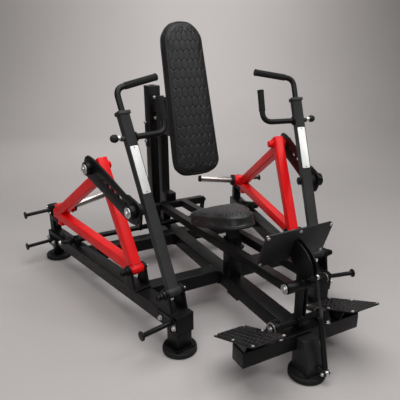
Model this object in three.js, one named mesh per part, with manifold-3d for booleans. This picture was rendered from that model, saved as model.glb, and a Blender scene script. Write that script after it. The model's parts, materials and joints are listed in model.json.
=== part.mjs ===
// Flat chest press machine, plate loaded, in millimetres, +Z up, front towards -Y.
// The base is a spine with two toed-in side rails. Each rail carries a press arm and a red
// weight arm, tied by a link plate. A foot lever in front lifts both weight arms from behind.
import * as THREE from 'three';
import { mergeVertices } from 'three/addons/utils/BufferGeometryUtils.js';
import Module from 'manifold-3d';

const wasm = await Module();
wasm.setup();

// Fits and facets
const seatGap = 0.3;
const runGap = 0.5;
const weldTolerance = 0.0001;
const cutMargin = 20;
const roundSides = 16;
const smallSides = 8;
const discSides = 24;
const handleSteps = 14;
const handleSides = 12;
const shaftSides = 12;
const knobSides = 10;
const cornerSteps = 2;
const tubeCorner = 5;
const tubeWall = 4;
const halfTurn = Math.PI;
const quarterTurn = Math.PI / 2;

// Base tubes
const beamBottom = 130;
const beamHeight = 84;
const spineWidth = 96;
const crossTubeWidth = 90;
const frontCrossY = 115;
const rearCrossY = 765;
const flangeThickness = 10;
const flangeOverhang = 14;
const spineCapLength = 14;
const jointPlateThickness = 14;
const jointPlateLength = 110;
const jointPlateY = -86;

// Floor discs under every foot
const discRadius = 90;
const discRimHeight = 12;
const discStepRadius = 76;
const discStepHeight = 20;
const discHubRadius = 56;
const discHeight = 30;

// Side units, toed in towards the front
const railToeAngle = 12.5;
const unitX = 467;
const unitY = -198;
const railWidth = 92;
const frontFootY = -45;
const frontPostWidth = railWidth;
const rearFootY = 1440;
const rearPostWidth = 60;
const rearPostTop = 410;
const railRearOverhang = 8;
const restShelfLength = 96;
const restShelfHeight = 26;
const restShelfWidth = 60;
const restGussetDrop = 92;

// Column, pad post and what joins them
const columnWidth = 92;
const columnDepth = 95;
const columnFrontY = 1107;
const columnTop = 1216;
const columnStudRadius = 20;
const columnStudHeight = 7;
const sidePlateLength = 180;
const sidePlateWidth = 44;
const sidePlateThickness = 7;
const sidePlateTop = 945;
const padPostWidth = 60;
const padPostFrontY = 945;
const padPostTop = 1150;
const braceZ = 1068;
const braceWidth = 56;
const braceFlangeLength = 178;
const stopBracketWidth = 76;
const stopBracketTop = 470;
const stopBracketBottom = 402;

// Back pad, leaning back, wider at its foot
const padLean = 14.5;
const padFootY = 370;
const padFootZ = 692;
const padLength = 955;
const padFootWidth = 312;
const padHeadWidth = 276;
const padThickness = 74;
const padCornerRadius = 88;
const padCrown = 10;
const padQuiltColumns = 7;
const padQuiltRows = 15;
const padQuiltDepth = 4;
const padEdgeRoll = 16;
const padSidePinch = 3;
const carrierTubeWidth = 50;
const carrierHeights = [1090, 935];
const carrierPlateWidth = 120;
const carrierPlateThickness = 8;
const carrierPlateLength = 520;
const carrierPlateStart = 190;

// Seat, its post and its sleeve
const seatPostY = -6;
const seatSleeveWidth = 80;
const seatSleeveTop = 452;
const seatPostWidth = 60;
const seatPostBottom = 244;
const seatHoleRadius = 5;
const seatHolePitch = 30;
const seatHoleCount = 5;
const seatTilt = 10.5;
const seatUnderZ = 542;
const seatFrontY = -136;
const seatLength = 366;
const seatNoseWidth = 214;
const seatWaistWidth = 238;
const seatRearWidth = 372;
const seatThickness = 58;
const seatCrown = 9;
const seatQuiltColumns = 6;
const seatQuiltRows = 7;
const seatQuiltDepth = 3;
const seatEdgeRoll = 14;
const seatSidePinch = 3;
const seatPlateLength = 190;
const seatPlateWidth = 130;
const seatPlateThickness = 8;

// Spring pins: housing, stem and knob
const pinHousingRadius = 13;
const pinHousingLength = 20;
const pinStemRadius = 5;
const pinStemReach = 26;
const pinKnobRadius = 14;
const pinTipDepth = 6;
const seatPinZ = 430;

// Clevis brackets and pivots of the arms
const pivotRadius = 28;
const pivotHalfLength = 40;
const pivotPinRadius = 12;
const pivotPinGap = 0.3;
const earThickness = 12;
const earRadius = 33;
const earFootLength = 112;
const clevisBaseThickness = 12;
const clevisBaseLength = 134;
const clevisBearingRadius = 25;
const clevisBearingLength = 16;
const clevisNutRadius = 15;
const clevisNutLength = 12;

// Press arm, leaning back
const armPivotY = 0;
const armPivotZ = 318;
const armLean = 24.2;
const armLength = 950;
const armWidth = 60;
const armDepth = 40;
const armCollarWidth = 72;
const armCollarDepth = 52;
const armCollarLength = 17;
const handleRadius = 16;
const gripRadius = 19;
const upperGripLength = 196;
const lowerGripLength = 122;
const gripEndLength = 6;
const gripEndRadius = 20;
const upperHandleRise = 122;
const upperHandleReach = 246;
const upperHandleClimb = 44;
const upperHandleBend = 46;
const lowerHandleFromTop = 138;
const lowerHandleReach = 200;
const lowerHandleRise = 186;
const lowerHandleLean = 18;
const lowerHandleBend = 62;
const lowerHandleJournal = 14;
const lowerHandleFlangeRadius = 27;
const lowerHandleFlangeLength = 9;

// Red weight arm: a triangle of square tube
const weightX = 8;
const weightPivotY = 335;
const weightPivotZ = 320;
const weightTube = 50;
const weightTopY = 651;
const weightTopZ = 893;
const weightRearY = 1362;
const weightRearZ = 370;
const weightDiagonalTopDrop = 78;
const weightDiagonalFootRise = 24;
const linkTopBehind = 4;
const linkTopBelow = 43;
const linkBossRadius = 31;
const bumpY = 1280;
const bumpLength = 62;
const bumpDrop = 34;
const sleeveY = 1300;
const sleeveZ = 410;
const sleeveTilt = 7;
const sleeveRadius = 25;
const sleeveLength = 272;
const sleeveCapRadius = 21;
const sleeveCapLength = 9;
const collarRadius = 44;
const collarLength = 20;
const hubRadius = 38;
const hubLength = 34;
const hubBlockLength = 74;
const hubBlockHeight = 70;
const hubBlockWidth = 26;

// Link plate between the weight arm and the press arm
const linkAlong = 446;
const linkSet = 32;
const linkPlateX = 62;
const linkThickness = 12;
const linkWidth = 66;
const linkHeadRadius = 36;
const linkTail = 60;
const linkTailWidth = 34;
const linkPinRadius = 10;
const linkPinReach = 22;
const linkNutRadius = 16;
const linkNutLength = 10;
const linkOpenRadius = 15;
const linkSlotLength = 40;
const linkSlotWidth = 20;
const linkSlotCount = 4;
const linkSlotPitch = 56;
const linkSlotStart = 118;
const linkHoleRadius = 9;
const linkHoleAlong = 74;

// Storage pegs
const pegRadius = 13;
const pegLength = 176;
const pegFlangeRadius = 25;
const pegFlangeLength = 9;
const pegPlateWidth = 60;
const pegPlateThickness = 8;
const frontPegZ = 182;
const rearPegUpperZ = 376;
const rearPegLowerZ = 142;

// Front beam, its leg and the foot plates
const footBeamY = -623;
const footBeamWidth = 90;
const footBeamLength = 688;
const legHalfWidth = 44;
const legRearY = -640;
const legTopZ = 198;
const legTopFrontY = -716;
const legKneeY = -757;
const legKneeZ = 98;
const legDiscY = -700;
const footPlateInnerX = 186;
const footPlateOuterX = 370;
const footPlateY = -607;
const footPlateZ = 244;
const footPlateSlope = 23.6;
const footPlateLength = 372;
const footPlateThickness = 6;
const footPlateChamfer = 16;
const footRibInset = 34;
const footRibThickness = 8;
const footRibSpread = 30;

// Foot lever and its bearings
const leverShaftY = -620;
const leverShaftZ = 254;
const leverShaftRadius = 17;
const leverShaftHalf = 163;
const leverBearingX = 141;
const leverBearingHalf = 17;
const leverBearingRadius = 36;
const leverBearingBase = 46;
const leverPlateInner = 9;
const leverPlateThickness = 7;
const leverHubRadius = 38;
const leverPinY = -645;
const leverPinZ = 462;
const leverPinRadius = 12;
const leverBossRadius = 27;
const leverBossHalf = 25;
const leverRearY = -600;
const leverFrontY = -656;
const leverBulgeY = -708;
const leverBulgeZ = 545;
const leverCrestY = -578;
const leverCrestZ = 655;
const leverHeelZ = 563;
const pushPlateHalfWidth = 192;
const pushPlateLength = 192;
const pushPlateThickness = 8;
const pushPlateMidY = -565.5;
const pushPlateMidZ = 626.5;
const pushPlateLean = 21.3;
const pushPlateChamfer = 18;

// Push frame from the lever to the rocker
const pushRailX = 82;
const pushRailWidth = 50;
const pushRearY = 832;
const pushRearZ = 395;
const pushRearHalf = 240;
const pushBossRadius = 27;
const pushCapRadius = 22;
const pushCapLength = 5;

// Rocker across the back, with its bearings on the rails
const rockerY = 870;
const rockerZ = 246;
const rockerShaftRadius = 19;
const rockerShaftOverhang = 37;
const rockerArmThickness = 12;
const rockerArmWidth = 46;
const rockerPinRadius = 10;
const rockerPinReach = 22;
const rockerOpenRadius = 13;
const rockerBearingHalf = 18;
const rockerBearingRadius = 31;
const rockerEndRadius = 12;
const rockerEndLength = 14;
const lifterThickness = 22;
const lifterHubRadius = 27;
const lifterTopZ = 233;
const lifterTipHeight = 14;
const lifterTail = 20;

// Gas strut in front of the lever
const strutX = 30;
const strutTopY = -690;
const strutTopZ = 508;
const strutFootY = -795;
const strutFootZ = 58;
const strutCylinderRadius = 13;
const strutRodRadius = 6;
const strutBodyLength = 262;
const strutEyeRadius = 12;
const strutEyeHalf = 7;
const strutPinRadius = 5;
const strutPinReach = 19;
const strutCylinderStart = 22;
const strutRodStart = 150;
const strutHollowStart = 60;
const strutOpenGap = 1.5;
const strutLugThickness = 6;
const strutLugRadius = 14;

// Derived places
const beamTop = beamBottom + beamHeight;
const beamMid = beamBottom + beamHeight / 2;
const seatedOnBeam = beamTop + seatGap;
const seatedOnDisc = discHeight + seatGap;
const columnRearY = columnFrontY + columnDepth;
const columnMidY = columnFrontY + columnDepth / 2;
const padPostMidY = padPostFrontY + padPostWidth / 2;
const padPostRearY = padPostFrontY + padPostWidth;
const linkTopY = weightTopY + linkTopBehind;
const linkTopZ = weightTopZ - linkTopBelow;

// Vectors and angles
const xAxis = new THREE.Vector3(1, 0, 0);
const yAxis = new THREE.Vector3(0, 1, 0);
const zAxis = new THREE.Vector3(0, 0, 1);

function point(x, y, z) {
  return new THREE.Vector3(x, y, z);
}

function radians(degrees) {
  return THREE.MathUtils.degToRad(degrees);
}

// A direction in the side view that leans back from upright by an angle.
function leaning(degrees) {
  return point(0, Math.sin(radians(degrees)), Math.cos(radians(degrees)));
}

// A geometry as a closed solid, ready for adding and cutting.
function solidOf(geometry) {
  const bare = geometry.clone();
  bare.deleteAttribute('normal');
  bare.deleteAttribute('uv');
  const welded = mergeVertices(bare, weldTolerance);
  const mesh = new wasm.Mesh({
    numProp: 3,
    vertProperties: new Float32Array(welded.attributes.position.array),
    triVerts: new Uint32Array(welded.index.array),
  });
  return new wasm.Manifold(mesh);
}

function geometryOf(solid) {
  const mesh = solid.getMesh();
  const geometry = new THREE.BufferGeometry();
  geometry.setAttribute('position', new THREE.BufferAttribute(mesh.vertProperties, 3));
  geometry.setIndex(new THREE.BufferAttribute(mesh.triVerts, 1));
  return geometry;
}

function join(...solids) {
  return solids.reduce((sum, next) => sum.add(next));
}

function cut(solid, ...tools) {
  return tools.reduce((rest, tool) => rest.subtract(tool), solid);
}

// A mirrored geometry has its triangles turned round, so its faces still look out.
function turnedRound(geometry) {
  const index = geometry.index.array;
  for (let corner = 0; corner < index.length; corner += 3) {
    const kept = index[corner + 1];
    index[corner + 1] = index[corner + 2];
    index[corner + 2] = kept;
  }
  return geometry;
}

function moved(solid, matrix) {
  const geometry = geometryOf(solid).applyMatrix4(matrix);
  return solidOf(matrix.determinant() < 0 ? turnedRound(geometry) : geometry);
}

// From a side unit's own frame, where Y runs along the rail, to the machine's.
const toRight = new THREE.Matrix4()
  .makeRotationZ(-radians(railToeAngle))
  .setPosition(unitX, unitY, 0);
const toLeft = new THREE.Matrix4().makeScale(-1, 1, 1).multiply(toRight);
const sides = [
  { name: 'right', matrix: toRight, sign: 1 },
  { name: 'left', matrix: toLeft, sign: -1 },
];

// Box between two corners.
function block(xRange, yRange, zRange) {
  const [x0, x1] = xRange;
  const [y0, y1] = yRange;
  const [z0, z1] = zRange;
  const box = new THREE.BoxGeometry(x1 - x0, y1 - y0, z1 - z0);
  return solidOf(box.translate((x0 + x1) / 2, (y0 + y1) / 2, (z0 + z1) / 2));
}

function around(middle, width) {
  return [middle - width / 2, middle + width / 2];
}

// Round bar between two points.
function rod(radius, from, to, facets = roundSides) {
  const along = to.clone().sub(from);
  const bar = new THREE.CylinderGeometry(radius, radius, along.length(), facets);
  const turn = new THREE.Quaternion().setFromUnitVectors(yAxis, along.clone().normalize());
  const middle = from.clone().add(to).divideScalar(2);
  bar.applyQuaternion(turn);
  return solidOf(bar.translate(middle.x, middle.y, middle.z));
}

function rodAcross(radius, x0, x1, y, z, facets = roundSides) {
  return rod(radius, point(x0, y, z), point(x1, y, z), facets);
}

// Radius of a faceted bore whose flats keep the gap from the round bar in it.
function boreRadius(barRadius, gap, facets = roundSides) {
  return (barRadius + gap) / Math.cos(halfTurn / facets);
}

// Section of a rolled tube, with rounded corners.
function tubeSection(width, depth, radius) {
  const x = width / 2 - radius;
  const y = depth / 2 - radius;
  const section = new THREE.Shape();
  section.absarc(x, y, radius, 0, quarterTurn);
  section.absarc(-x, y, radius, quarterTurn, halfTurn);
  section.absarc(-x, -y, radius, halfTurn, halfTurn + quarterTurn);
  section.absarc(x, -y, radius, halfTurn + quarterTurn, halfTurn + halfTurn);
  section.closePath();
  return section;
}

// Straight bar of tube section; its width lies along the side direction.
function bar(from, to, side, width, depth, radius = tubeCorner) {
  const along = to.clone().sub(from);
  const form = new THREE.ExtrudeGeometry(tubeSection(width, depth, radius), {
    depth: along.length(),
    bevelEnabled: false,
    curveSegments: cornerSteps,
  });
  const ahead = along.clone().normalize();
  const up = ahead.clone().cross(side);
  const matrix = new THREE.Matrix4().makeBasis(side, up, ahead).setPosition(from);
  return solidOf(form.applyMatrix4(matrix));
}

// The same bar with its hollow; an end is open unless it has a cap.
function tube(from, to, side, width, depth, startCap = 0, endCap = 0) {
  const ahead = to.clone().sub(from).normalize();
  const start = startCap > 0 ? startCap : -cutMargin;
  const end = endCap > 0 ? endCap : -cutMargin;
  const hollow = bar(
    from.clone().addScaledVector(ahead, start),
    to.clone().addScaledVector(ahead, -end),
    side,
    width - tubeWall * 2,
    depth - tubeWall * 2,
    tubeCorner - tubeWall / 2,
  );
  return cut(bar(from, to, side, width, depth), hollow);
}

// Plate whose outline is drawn in the side view (Y, Z) and whose thickness runs along X.
function sidePlate(outline, x0, x1, facets = roundSides) {
  const form = new THREE.ExtrudeGeometry(outline, {
    depth: x1 - x0,
    bevelEnabled: false,
    curveSegments: facets / 2,
  });
  const turn = new THREE.Matrix4().makeBasis(yAxis, zAxis, xAxis).setPosition(x0, 0, 0);
  return solidOf(form.applyMatrix4(turn));
}

function outlineOf(points) {
  return new THREE.Shape(points.map(([y, z]) => new THREE.Vector2(y, z)));
}

// Flat bar with round ends between two pivots in the side view.
function strapOutline(from, to, radius) {
  const angle = Math.atan2(to[1] - from[1], to[0] - from[0]);
  const outline = new THREE.Shape();
  outline.absarc(from[0], from[1], radius, angle + quarterTurn, angle - quarterTurn);
  outline.absarc(to[0], to[1], radius, angle - quarterTurn, angle + quarterTurn);
  outline.closePath();
  return outline;
}

// Round bar bent at one corner, with a grip and an end ring on its last stretch.
function bentHandle(start, corner, end, bend, gripLength) {
  const before = corner.clone().lerp(start, bend / corner.distanceTo(start));
  const after = corner.clone().lerp(end, bend / corner.distanceTo(end));
  const path = new THREE.CurvePath();
  path.add(new THREE.LineCurve3(start, before));
  path.add(new THREE.QuadraticBezierCurve3(before, corner, after));
  path.add(new THREE.LineCurve3(after, end));
  const section = new THREE.Shape().absarc(0, 0, handleRadius, 0, halfTurn * 2);
  const pipe = new THREE.ExtrudeGeometry(section, {
    steps: handleSteps,
    curveSegments: handleSides / 2,
    extrudePath: path,
  });
  const back = corner.clone().sub(end).normalize();
  const gripStart = end.clone().addScaledVector(back, gripLength);
  const ringStart = end.clone().addScaledVector(back, gripEndLength);
  return join(
    solidOf(pipe),
    rod(gripRadius, gripStart, end.clone().addScaledVector(back, -seatGap), handleSides),
    rod(
      gripEndRadius,
      ringStart,
      end.clone().addScaledVector(back, -gripEndLength),
      handleSides,
    ),
  );
}

// Cushion, lying with its length along Y and its face up.
// The face is a grid whose lines zigzag across, so its sewn rows and seams fall on grid points.
// widthAt and quilt answer for any place on it; the side rolls over and is pinched at half height.
function cushionOf(form) {
  const { length, thickness, crown, columns, rows, depth, roll, pinch, widthAt, seams } = form;
  const across = columns * 2;
  const lines = rows * 2;
  const positions = [];
  const triangles = [];
  const rim = [];
  const place = (x, y, z) => {
    positions.push(x, y, z);
    return positions.length / 3 - 1;
  };
  const faceIndex = [];
  for (let line = 0; line <= lines; line += 1) {
    faceIndex.push([]);
    for (let column = 0; column <= across; column += 1) {
      const onRow = line % 2 === 0;
      const inner = column > 0 && column < across && line > 0 && line < lines;
      const lean = (column + line / 2) % 2 === 0 ? 1 : -1;
      const shift = onRow && inner ? (lean * length) / lines / 2 : 0;
      const y = (line / lines) * length + shift;
      const side = (column / across) * 2 - 1;
      const x = (side * widthAt(y)) / 2;
      const endShare = Math.sin(halfTurn * (y / length));
      const rise = crown * (1 - side * side) * Math.min(1, endShare * 3);
      const sewn = inner && (onRow || (seams && (column + (line - 1) / 2) % 2 === 0));
      const edge = inner ? 0 : roll / 2;
      faceIndex[line].push(place(x, y, thickness + rise - (sewn ? depth : 0) - edge));
    }
  }
  for (let line = 0; line < lines; line += 1) {
    for (let column = 0; column < across; column += 1) {
      const a = faceIndex[line][column];
      const b = faceIndex[line][column + 1];
      const c = faceIndex[line + 1][column + 1];
      const d = faceIndex[line + 1][column];
      triangles.push(a, b, c, a, c, d);
    }
  }
  for (let column = 0; column < across; column += 1) rim.push(faceIndex[0][column]);
  for (let line = 0; line < lines; line += 1) rim.push(faceIndex[line][across]);
  for (let column = across; column > 0; column -= 1) rim.push(faceIndex[lines][column]);
  for (let line = lines; line > 0; line -= 1) rim.push(faceIndex[line][0]);
  const middleY = length / 2;
  const ring = (grow, height) => rim.map((index) => {
    const x = positions[index * 3];
    const y = positions[index * 3 + 1];
    const away = new THREE.Vector2(x / form.halfWidth, (y - middleY) / middleY).normalize();
    return place(x + away.x * grow, y + away.y * grow, height);
  });
  const rings = [
    rim,
    ring(roll / 2, thickness - roll),
    ring(roll / 2 - pinch, thickness / 2),
    ring(roll / 2, thickness / 4),
    ring(0, 0),
  ];
  for (let level = 0; level < rings.length - 1; level += 1) {
    rim.forEach((unused, step) => {
      const next = (step + 1) % rim.length;
      const a = rings[level][step];
      const b = rings[level][next];
      const c = rings[level + 1][next];
      const d = rings[level + 1][step];
      triangles.push(a, c, b, a, d, c);
    });
  }
  const base = rings[rings.length - 1];
  const hub = place(0, middleY, 0);
  base.forEach((from, step) => {
    triangles.push(from, hub, base[(step + 1) % base.length]);
  });
  const geometry = new THREE.BufferGeometry();
  geometry.setAttribute('position', new THREE.Float32BufferAttribute(positions, 3));
  geometry.setIndex(triangles);
  return solidOf(geometry);
}

const machine = new THREE.Group();
machine.name = 'flat_chest_press';

function addPiece(name, solid, look) {
  const shown = geometryOf(solid).toNonIndexed();
  shown.computeVertexNormals();
  const mesh = new THREE.Mesh(shown, new THREE.MeshStandardMaterial(look));
  mesh.name = name;
  machine.add(mesh);
}

const blackPaint = { color: 0x1d1d1f, roughness: 0.5, metalness: 0.2 };
const redPaint = { color: 0xc4151c, roughness: 0.38, metalness: 0.15 };
const greyPaint = { color: 0x343438, roughness: 0.55, metalness: 0.2 };
const chrome = { color: 0xb9b2ab, roughness: 0.22, metalness: 1 };
const zincSteel = { color: 0xa9a6a0, roughness: 0.4, metalness: 0.9 };
const rubber = { color: 0x141414, roughness: 0.85, metalness: 0 };
const leatherette = { color: 0x242425, roughness: 0.62, metalness: 0 };
const seatCover = { color: 0x2b2b2c, roughness: 0.7, metalness: 0 };

// Spine: one long tube from the foot beam to behind the column, with a joint plate and a leg.
const spineFrontY = footBeamY + footBeamWidth / 2 + seatGap;
const spineRearY = columnRearY + spineCapLength;
const spine = tube(
  point(0, spineFrontY, beamMid),
  point(0, spineRearY, beamMid),
  xAxis,
  spineWidth,
  beamHeight,
  0,
  spineCapLength,
);
const jointPlate = block(
  around(0, spineWidth),
  around(jointPlateY, jointPlateLength),
  [beamBottom - jointPlateThickness, beamBottom + tubeWall / 2],
);
const spineLeg = bar(
  point(0, columnMidY, seatedOnDisc),
  point(0, columnMidY, beamBottom + tubeWall / 2),
  xAxis,
  frontPostWidth,
  frontPostWidth,
);
addPiece('spine', join(spine, jointPlate, spineLeg), blackPaint);

// Floor disc: a stepped round foot, turned on an upright axis.
function floorDisc(x, y) {
  const profile = [
    new THREE.Vector2(0, 0),
    new THREE.Vector2(discRadius, 0),
    new THREE.Vector2(discRadius, discRimHeight),
    new THREE.Vector2(discStepRadius, discStepHeight),
    new THREE.Vector2(discHubRadius, discStepHeight),
    new THREE.Vector2(discHubRadius, discHeight),
    new THREE.Vector2(0, discHeight),
  ];
  const disc = new THREE.LatheGeometry(profile, discSides).rotateX(quarterTurn);
  return solidOf(disc.translate(x, y, 0));
}

// Side rail: the long toed-in tube with its front post and its rear post.
const railBar = bar(
  point(0, frontFootY, beamMid),
  point(0, rearFootY + rearPostWidth / 2 + railRearOverhang, beamMid),
  xAxis,
  railWidth,
  beamHeight,
);
const frontPost = bar(
  point(0, frontFootY, seatedOnDisc),
  point(0, frontFootY, beamTop),
  xAxis,
  frontPostWidth,
  frontPostWidth,
);
const rearPost = bar(
  point(0, rearFootY, seatedOnDisc),
  point(0, rearFootY, rearPostTop),
  xAxis,
  rearPostWidth,
  rearPostWidth,
);
const weightLowerSlope = (weightRearZ - weightPivotZ) / (weightRearY - weightPivotY);
const restY = rearFootY - rearPostWidth / 2 - restShelfLength;
const restTop = weightPivotZ + (restY - weightPivotY) * weightLowerSlope - weightTube / 2 - runGap * 2;
const restShelf = block(
  around(weightX, restShelfWidth),
  [restY, rearFootY],
  [restTop - restShelfHeight, restTop],
);
const restGusset = sidePlate(
  outlineOf([
    [restY, restTop - restShelfHeight],
    [rearFootY, restTop - restShelfHeight - restGussetDrop],
    [rearFootY, restTop - restShelfHeight + seatGap],
    [restY, restTop - restShelfHeight + seatGap],
  ]),
  weightX - earThickness / 2,
  weightX + earThickness / 2,
);
const sideRail = join(railBar, frontPost, rearPost, restShelf, restGusset);

// Cross tubes from the spine to the rails, cut to the rail's slant.
const railClearance = bar(
  point(0, frontFootY - frontPostWidth, beamMid),
  point(0, rearFootY + rearPostWidth, beamMid),
  xAxis,
  railWidth + seatGap * 2,
  beamHeight * 2,
);
function crossTube(y) {
  const railMidX = unitX + (y - unitY) * Math.tan(radians(railToeAngle));
  const startX = spineWidth / 2 + seatGap;
  const long = bar(
    point(startX, y, beamMid),
    point(railMidX, y, beamMid),
    yAxis,
    crossTubeWidth,
    beamHeight,
  );
  const flange = bar(
    point(startX, y, beamMid),
    point(startX + flangeThickness, y, beamMid),
    yAxis,
    crossTubeWidth + flangeOverhang * 2,
    beamHeight,
  );
  return cut(join(long, flange), moved(railClearance, toRight));
}
const mirror = new THREE.Matrix4().makeScale(-1, 1, 1);
const frontCross = crossTube(frontCrossY);
const rearCross = crossTube(rearCrossY);

// Storage peg on a small plate, pointing out from the rail.
function storagePeg(faceX, y, z) {
  const plateX = faceX + seatGap;
  const rootX = plateX + pegPlateThickness;
  const tipX = rootX + pegLength;
  return join(
    block([plateX, rootX], around(y, pegPlateWidth), around(z, pegPlateWidth)),
    rodAcross(pegRadius, plateX, tipX, y, z, smallSides),
    rodAcross(pegFlangeRadius, tipX - pegFlangeLength, tipX, y, z, shaftSides),
  );
}

// Clevis on the rail: two round-topped ears, the bearing caps and the pivot pin.
function clevis(x, y, z) {
  const outline = new THREE.Shape();
  outline.moveTo(y - earFootLength / 2, seatedOnBeam);
  outline.lineTo(y + earFootLength / 2, seatedOnBeam);
  outline.lineTo(y + earRadius, z);
  outline.absarc(y, z, earRadius, 0, halfTurn);
  outline.closePath();
  const earInner = pivotHalfLength + runGap;
  const earOuter = earInner + earThickness;
  const capOuter = earOuter + clevisBearingLength;
  const nutOuter = capOuter + clevisNutLength;
  return join(
    block(
      around(x, earOuter * 2),
      around(y, clevisBaseLength),
      [seatedOnBeam, seatedOnBeam + clevisBaseThickness],
    ),
    sidePlate(outline, x + earInner, x + earOuter),
    sidePlate(outline, x - earOuter, x - earInner),
    rodAcross(pivotPinRadius, x - capOuter, x + nutOuter, y, z, smallSides),
    rodAcross(clevisBearingRadius, x + earInner, x + capOuter, y, z, shaftSides),
    rodAcross(clevisNutRadius, x - capOuter, x - earInner, y, z, 6),
    rodAcross(clevisNutRadius, x + earInner, x + nutOuter, y, z, 6),
  );
}

// Pivot tube at an arm's foot, and the bore that the pin runs in.
function pivotTube(x, y, z) {
  return rodAcross(pivotRadius, x - pivotHalfLength, x + pivotHalfLength, y, z);
}
function pivotBore(x, y, z) {
  const reach = pivotHalfLength + cutMargin;
  return rodAcross(boreRadius(pivotPinRadius, pivotPinGap), x - reach, x + reach, y, z);
}

// Press arm: tube, collar at the top, link boss and pin outside, and the lower handle's socket.
const armFoot = point(0, armPivotY, armPivotZ);
const armAlong = leaning(armLean);
function onArm(distance) {
  return armFoot.clone().addScaledVector(armAlong, distance);
}
const armTop = onArm(armLength);
const armBehind = point(0, Math.cos(radians(armLean)), -Math.sin(radians(armLean)));
const linkLow = onArm(linkAlong).addScaledVector(armBehind, linkSet);
const swivel = onArm(armLength - lowerHandleFromTop);
const pinHousingOuter = armWidth / 2 + pinHousingLength;
const armBody = join(
  bar(armFoot, armTop, xAxis, armWidth, armDepth),
  bar(
    onArm(armLength - armCollarLength),
    armTop,
    xAxis,
    armCollarWidth,
    armCollarDepth,
  ),
  pivotTube(0, armPivotY, armPivotZ),
  rodAcross(linkBossRadius, 0, linkPlateX - runGap, linkLow.y, linkLow.z),
  rodAcross(
    linkPinRadius,
    0,
    linkPlateX + linkThickness + linkPinReach,
    linkLow.y,
    linkLow.z,
    smallSides,
  ),
  rodAcross(pinHousingRadius, 0, pinHousingOuter, swivel.y, swivel.z, smallSides),
);
const journalEnd = armWidth / 2 - pinTipDepth * 2;
const pressArm = cut(
  armBody,
  pivotBore(0, armPivotY, armPivotZ),
  rodAcross(
    boreRadius(lowerHandleJournal, seatGap),
    -armWidth,
    journalEnd + runGap,
    swivel.y,
    swivel.z,
  ),
  rodAcross(
    boreRadius(pinStemRadius, seatGap, smallSides),
    0,
    pinHousingOuter + cutMargin,
    swivel.y,
    swivel.z,
    smallSides,
  ),
);

// Upper handle: up from the collar, then bent inwards, climbing a little.
const upperStart = armTop.clone().addScaledVector(armAlong, seatGap);
const upperCorner = armTop.clone().addScaledVector(armAlong, upperHandleRise);
const upperEnd = upperCorner.clone().add(point(-upperHandleReach, 0, upperHandleClimb));
const upperHandle = bentHandle(
  upperStart,
  upperCorner,
  upperEnd,
  upperHandleBend,
  upperGripLength,
);

// Lower handle: in from the arm on a journal that can swivel, then bent upwards.
const lowerStart = point(-armWidth / 2 - runGap, swivel.y, swivel.z);
const lowerCorner = point(-armWidth / 2 - lowerHandleReach, swivel.y, swivel.z);
const lowerEnd = lowerCorner.clone().addScaledVector(leaning(lowerHandleLean), lowerHandleRise);
const lowerHandle = join(
  bentHandle(lowerStart, lowerCorner, lowerEnd, lowerHandleBend, lowerGripLength),
  rodAcross(lowerHandleJournal, lowerStart.x - runGap, journalEnd, swivel.y, swivel.z),
  rodAcross(
    lowerHandleFlangeRadius,
    lowerStart.x - lowerHandleFlangeLength,
    lowerStart.x,
    swivel.y,
    swivel.z,
  ),
);

// Spring pin: thin stem in its housing and a ball to pull.
function springPin(from, direction) {
  const at = (distance) => from.clone().addScaledVector(direction, distance);
  const ball = new THREE.SphereGeometry(pinKnobRadius, knobSides, knobSides / 2 + 1);
  const centre = at(pinStemReach + pinKnobRadius);
  return join(
    rod(pinStemRadius, at(-pinHousingLength), centre, smallSides),
    solidOf(ball.translate(centre.x, centre.y, centre.z)),
  );
}
const pullPin = springPin(point(pinHousingOuter, swivel.y, swivel.z), xAxis);

// Red weight arm: upright, lower tube and diagonal, with the bump that the lifter meets.
const weightFoot = point(weightX, weightPivotY, weightPivotZ);
const weightTop = point(weightX, weightTopY, weightTopZ);
const weightRear = point(weightX, weightRearY, weightRearZ);
const uprightAlong = weightTop.clone().sub(weightFoot).normalize();
const diagonalTop = weightTop.clone().addScaledVector(uprightAlong, -weightDiagonalTopDrop);
const diagonalFoot = point(weightX, sleeveY, weightRearZ + weightDiagonalFootRise);
const bumpTop = weightPivotZ + (bumpY - weightPivotY) * weightLowerSlope;
const bumpBottom = bumpTop - weightTube / 2 - bumpDrop;
const sleeveAlong = point(-Math.cos(radians(sleeveTilt)), 0, Math.sin(radians(sleeveTilt)));
const sleeveRoot = point(weightX - weightTube / 2, sleeveY, sleeveZ);
function onSleeve(distance) {
  return sleeveRoot.clone().addScaledVector(sleeveAlong, distance);
}
const weightArm = cut(
  join(
    bar(weightFoot, weightTop, xAxis, weightTube, weightTube),
    bar(weightFoot, weightRear, xAxis, weightTube, weightTube),
    bar(diagonalTop, diagonalFoot, xAxis, weightTube, weightTube),
    pivotTube(weightX, weightPivotY, weightPivotZ),
    block(
      around(weightX, weightTube),
      around(bumpY, bumpLength),
      [bumpBottom, bumpTop],
    ),
    block(
      [weightX - weightTube / 2 - hubBlockWidth, weightX + weightTube / 2],
      around(sleeveY, hubBlockLength),
      around(sleeveZ, hubBlockHeight),
    ),
    rod(hubRadius, sleeveRoot, onSleeve(hubLength + hubBlockWidth)),
    rodAcross(
      linkBossRadius,
      weightX - weightTube / 2 - earThickness,
      linkPlateX - runGap,
      linkTopY,
      linkTopZ,
    ),
  ),
  pivotBore(weightX, weightPivotY, weightPivotZ),
  rodAcross(
    boreRadius(linkPinRadius, seatGap),
    weightX,
    linkPlateX + cutMargin,
    linkTopY,
    linkTopZ,
  ),
);

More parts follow.
